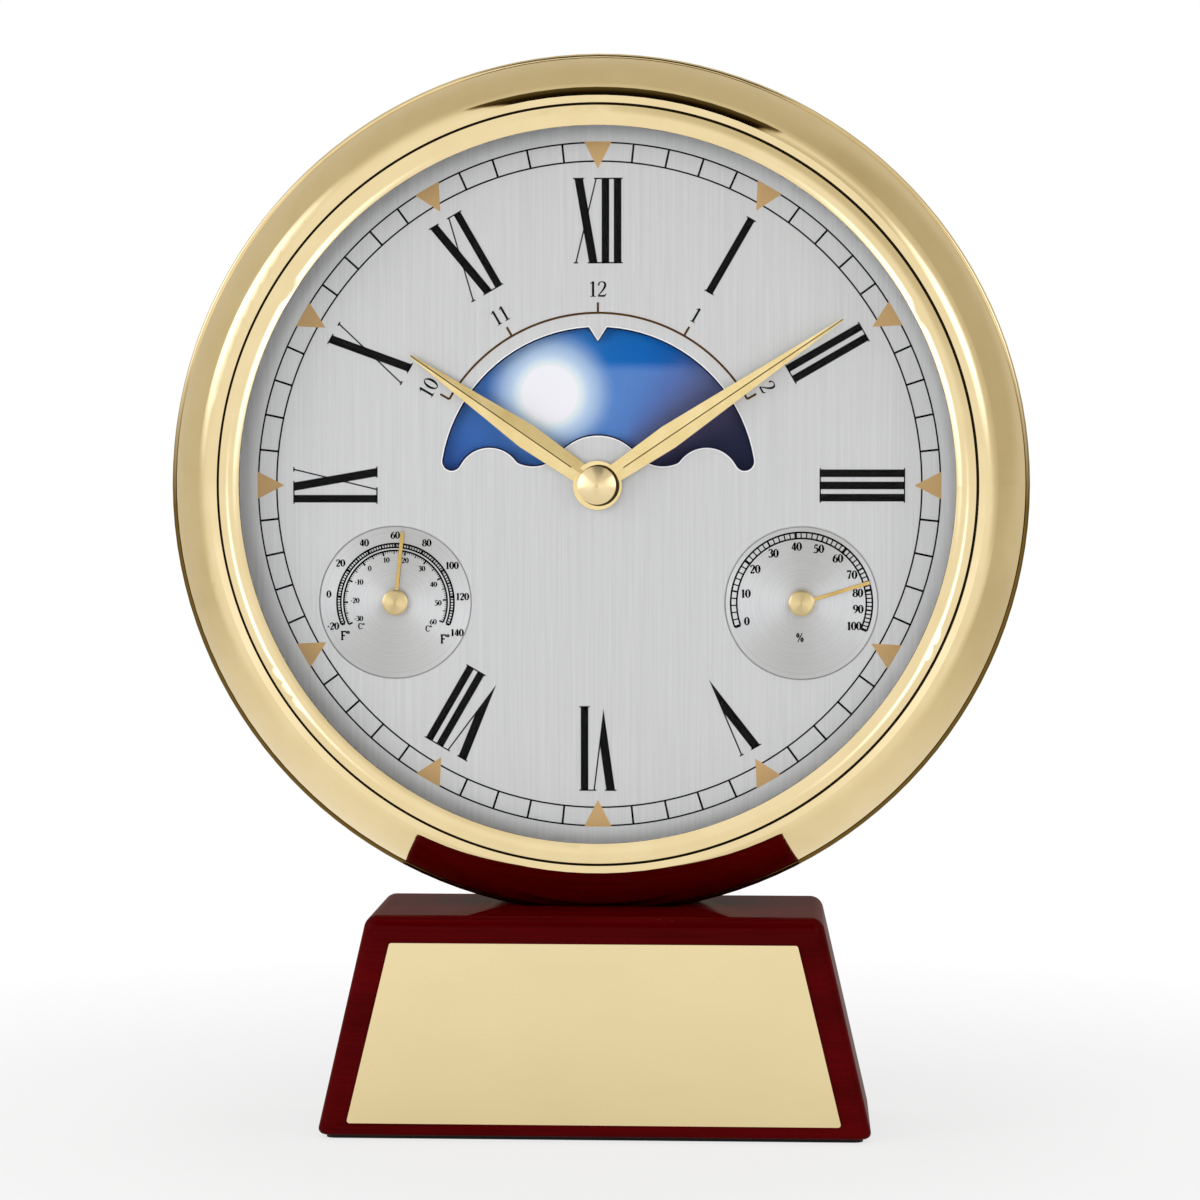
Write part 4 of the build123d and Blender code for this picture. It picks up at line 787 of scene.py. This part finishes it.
def hub_cap(name, centre, body, made):
    """Closed turned cap on the front of a gauge pointer's hub."""
    grid = bmesh.new()
    turns = [2 * pi * i / cap_sides for i in range(cap_sides)]
    rows = []
    for radius, height in cap_profile:
        reach, level = radius * MM, pointer_front - height * MM
        spots = [(centre.x + reach * sin(turn), level, centre.z + reach * cos(turn)) for turn in turns]
        rows.append([grid.verts.new(spot) for spot in spots])
    for near, far in zip(rows, rows[1:]):
        for i in range(cap_sides):
            j = (i + 1) % cap_sides
            grid.faces.new((near[i], near[j], far[j], far[i])).smooth = True
    grid.faces.new(rows[0])
    grid.faces.new(rows[-1])
    bmesh.ops.recalc_face_normals(grid, faces=grid.faces)
    for edge in grid.edges:
        edge.smooth = edge.calc_face_angle(0.0) < cap_sharp
    placed(name, grid, made, body)


for name, centre, body in (("thermometer_hub_cap", thermometer, "temperature"),
                           ("hygrometer_hub_cap", hygrometer, "humidity")):
    hub_cap(name, centre, body, faced_metal(name + "_gilt", centre, "DCC692", "E4CF9C", (0.42, 0.48)))


# Studio: pale floor, white surroundings, two large soft lamps

def warmed(tree, level):
    """Colour of a part of the room by its brightness: the darker it is, the warmer."""
    green = add(tree, "ShaderNodeMath", {0: level, 1: 1.11}, operation="POWER")
    blue = add(tree, "ShaderNodeMath", {0: level, 1: 1.43}, operation="POWER")
    return add(tree, "ShaderNodeCombineColor", {"Red": level, "Green": green, "Blue": blue})


def mirrored(tree, ray):
    """1 where metal or glass shows the surroundings."""
    return add(tree, "ShaderNodeMath", {
        0: ray["Is Glossy Ray"], 1: ray["Is Transmission Ray"]}, operation="MAXIMUM")


def studio_world():
    """White room with soft lamps; metal sees it bright in front, greyer and warmer at the sides and above."""
    world = bpy.data.worlds.new("studio")
    scene.world = world
    world.use_nodes = True
    tree = world.node_tree
    ray = add(tree, "ShaderNodeLightPath").outputs
    way = add(tree, "ShaderNodeTexCoord").outputs["Generated"]
    parts = add(tree, "ShaderNodeSeparateXYZ", {"Vector": way}).outputs
    # Rows of smooth steps: the value, where its step starts and ends, and the level before and after the step
    screen = add(tree, "ShaderNodeVectorMath", {0: way, 1: (0.3, -0.85, 0.43)}, operation="DISTANCE")
    right = add(tree, "ShaderNodeMath", {0: parts["Z"], 1: 0.5, 2: parts["X"]}, operation="MULTIPLY_ADD")
    sides = ((parts["Y"], -0.7, 0.2, 1.0, 0.66), (right, 0.8, 1.0, 1.0, 0.85),
             (parts["Z"], 0.5, 0.95, 1.0, 0.9), (screen, 0.2, 0.5, 0.68, 1.0))
    # A dark boom, wider at its far end, stands over the camera and shows as a crescent on the shoulder's top
    aside = add(tree, "ShaderNodeMath", {0: parts["X"], 1: 0.03}, operation="SUBTRACT")
    aside = add(tree, "ShaderNodeMath", {0: aside}, operation="ABSOLUTE")
    lean = add(tree, "ShaderNodeMath", {0: parts["Z"], 1: -0.7, 2: aside}, operation="MULTIPLY_ADD")
    boom = ((lean, -0.25, -0.21, 1.0, 0.0), (parts["Z"], 0.5, 0.55, 0.0, 1.0),
            (parts["Y"], -0.28, -0.2, 1.0, 0.0), (parts["Y"], -0.7, -0.3, 0.995, 0.9))
    levels = []
    for rows in (sides, boom):
        level = 1.0
        for value, begin, end, before, after in rows:
            step = add(tree, "ShaderNodeMapRange", {
                "Value": value, "From Min": begin, "From Max": end, "To Min": before, "To Max": after},
                interpolation_type="SMOOTHSTEP")
            level = add(tree, "ShaderNodeMath", {0: level, 1: step}, operation="MULTIPLY")
        levels.append(level)
    clear = add(tree, "ShaderNodeMath", {0: 1.0, 1: levels[1]}, operation="SUBTRACT")
    room = add(tree, "ShaderNodeMath", {0: levels[0], 1: clear}, operation="MULTIPLY")
    # Soft lamps as metal sees them: direction, inner and outer edge of the glow, and brightness
    for at, inner, outer, gain in (((-0.89, -0.18, 0.41), 0.05, 0.45, 1.25),
                                   ((0.732, -0.589, 0.341), 0.03, 0.33, 1.25),
                                   ((-0.238, -0.966, -0.097), 0.02, 0.13, 1.1),
                                   ((0.128, -0.986, -0.105), 0.02, 0.13, 1.1)):
        gap = add(tree, "ShaderNodeVectorMath", {0: way, 1: at}, operation="DISTANCE")
        lamp = add(tree, "ShaderNodeMapRange", {
            "Value": gap, "From Min": inner, "From Max": outer, "To Min": gain, "To Max": 0.0},
            interpolation_type="SMOOTHSTEP")
        room = add(tree, "ShaderNodeMath", {0: room, 1: lamp}, operation="ADD")
    soft = add(tree, "ShaderNodeBackground", {"Color": (1, 1, 1, 1), "Strength": 0.55})
    shiny = add(tree, "ShaderNodeBackground", {"Color": warmed(tree, room), "Strength": 1.0})
    white = add(tree, "ShaderNodeBackground", {"Color": (1, 1, 1, 1), "Strength": 1.0})
    metal_sees = add(tree, "ShaderNodeMixShader", {0: mirrored(tree, ray), 1: soft, 2: shiny})
    all_see = add(tree, "ShaderNodeMixShader", {0: ray["Is Camera Ray"], 1: metal_sees, 2: white})
    wire(tree, tree.nodes["World Output"], {"Surface": all_see})


def floor_white():
    """White paper: white but for the clock's soft shadow, and in metal darker and warmer to the sides."""
    made, tree, shader, place = finish(
        "white_paper", Base_Color=srgb("F2F2F2"), Roughness=0.9, Specular_IOR_Level=0.0)
    ray = add(tree, "ShaderNodeLightPath").outputs
    parts = add(tree, "ShaderNodeSeparateXYZ", {"Vector": place}).outputs
    away = add(tree, "ShaderNodeVectorMath", {0: place}, operation="LENGTH")
    # The further from the clock, the less of its shadow the paper keeps for the camera
    whiter = add(tree, "ShaderNodeMapRange", {
        "Value": away, "From Min": 0.08, "From Max": 0.28, "To Min": 0.72, "To Max": 1.0})
    seen = add(tree, "ShaderNodeMath", {0: ray["Is Camera Ray"], 1: whiter}, operation="MULTIPLY")
    glow = add(tree, "ShaderNodeEmission", {"Color": (1, 1, 1, 1), "Strength": 1.0})
    paper = add(tree, "ShaderNodeMixShader", {0: seen, 1: shader, 2: glow})
    # Metal sees the paper bright in front of the clock and darker beside it, most of all on the right
    aside = add(tree, "ShaderNodeMath", {0: parts["X"]}, operation="ABSOLUTE")
    side = add(tree, "ShaderNodeMapRange", {
        "Value": aside, "From Min": 0.1, "From Max": 0.5, "To Min": 0.94, "To Max": 0.66})
    right = add(tree, "ShaderNodeMapRange", {
        "Value": parts["X"], "From Min": 0.0, "From Max": 0.3, "To Min": 1.0, "To Max": 0.8})
    side = add(tree, "ShaderNodeMath", {0: side, 1: right}, operation="MULTIPLY")
    level = add(tree, "ShaderNodeMapRange", {
        "Value": parts["Y"], "From Min": -0.12, "From Max": 0.0, "To Min": 0.95, "To Max": side})
    # The paper close to the base is in its shade
    close = add(tree, "ShaderNodeVectorMath", {0: place, 1: (0, -0.02, 0)}, operation="DISTANCE")
    shade = add(tree, "ShaderNodeMapRange", {
        "Value": close, "From Min": 0.02, "From Max": 0.13, "To Min": 0.84, "To Max": 1.0})
    level = add(tree, "ShaderNodeMath", {0: level, 1: shade}, operation="MULTIPLY")
    near = add(tree, "ShaderNodeEmission", {"Color": warmed(tree, level), "Strength": 1.0})
    # Further out the paper ends, for metal, and the room goes on below it
    ends = add(tree, "ShaderNodeMapRange", {"Value": away, "From Min": 0.25, "From Max": 0.9})
    mirror = add(tree, "ShaderNodeMixShader", {0: ends, 1: near, 2: add(tree, "ShaderNodeBsdfTransparent")})
    both = add(tree, "ShaderNodeMixShader", {0: mirrored(tree, ray), 1: paper, 2: mirror})
    wire(tree, tree.nodes["Material Output"], {"Surface": both})
    return made


studio_world()
floor_half = 4
paper = bpy.data.meshes.new("floor")
corners = [(x * floor_half, y * floor_half, 0) for x, y in ((-1, -1), (1, -1), (1, 1), (-1, 1))]
paper.from_pydata(corners, [], [(0, 1, 2, 3)])
paper.materials.append(floor_white())
floor = bpy.data.objects.new("floor", paper)
scene.collection.objects.link(floor)

# Lamps light the clock from both sides; metal sees the world's soft lamps in their place
for name, at, size, watts in (("left_softbox", (-1.3, -0.9, 0.45), 0.9, 7.0),
                              ("right_softbox", (1.3, -1.0, 0.4), 0.8, 3.5)):
    lamp = bpy.data.lights.new(name, "AREA")
    lamp.size = size
    lamp.energy = watts
    box = bpy.data.objects.new(name, lamp)
    box.location = at
    box.rotation_euler = (hub - Vector(at)).to_track_quat("-Z", "Y").to_euler()
    box.visible_glossy = False
    scene.collection.objects.link(box)

# The camera stands level with the dial, a little to its right
camera_tilt, camera_pan = 2.328, 2.953
lens = bpy.data.cameras.new("camera")
lens.lens = 110.54
lens.sensor_width = 36.0
camera = bpy.data.objects.new("camera", lens)
camera.location = (0.0424, -0.815, 0.1499)
camera.rotation_euler = Euler((radians(90 - camera_tilt), 0, radians(camera_pan)))
scene.collection.objects.link(camera)
scene.camera = camera
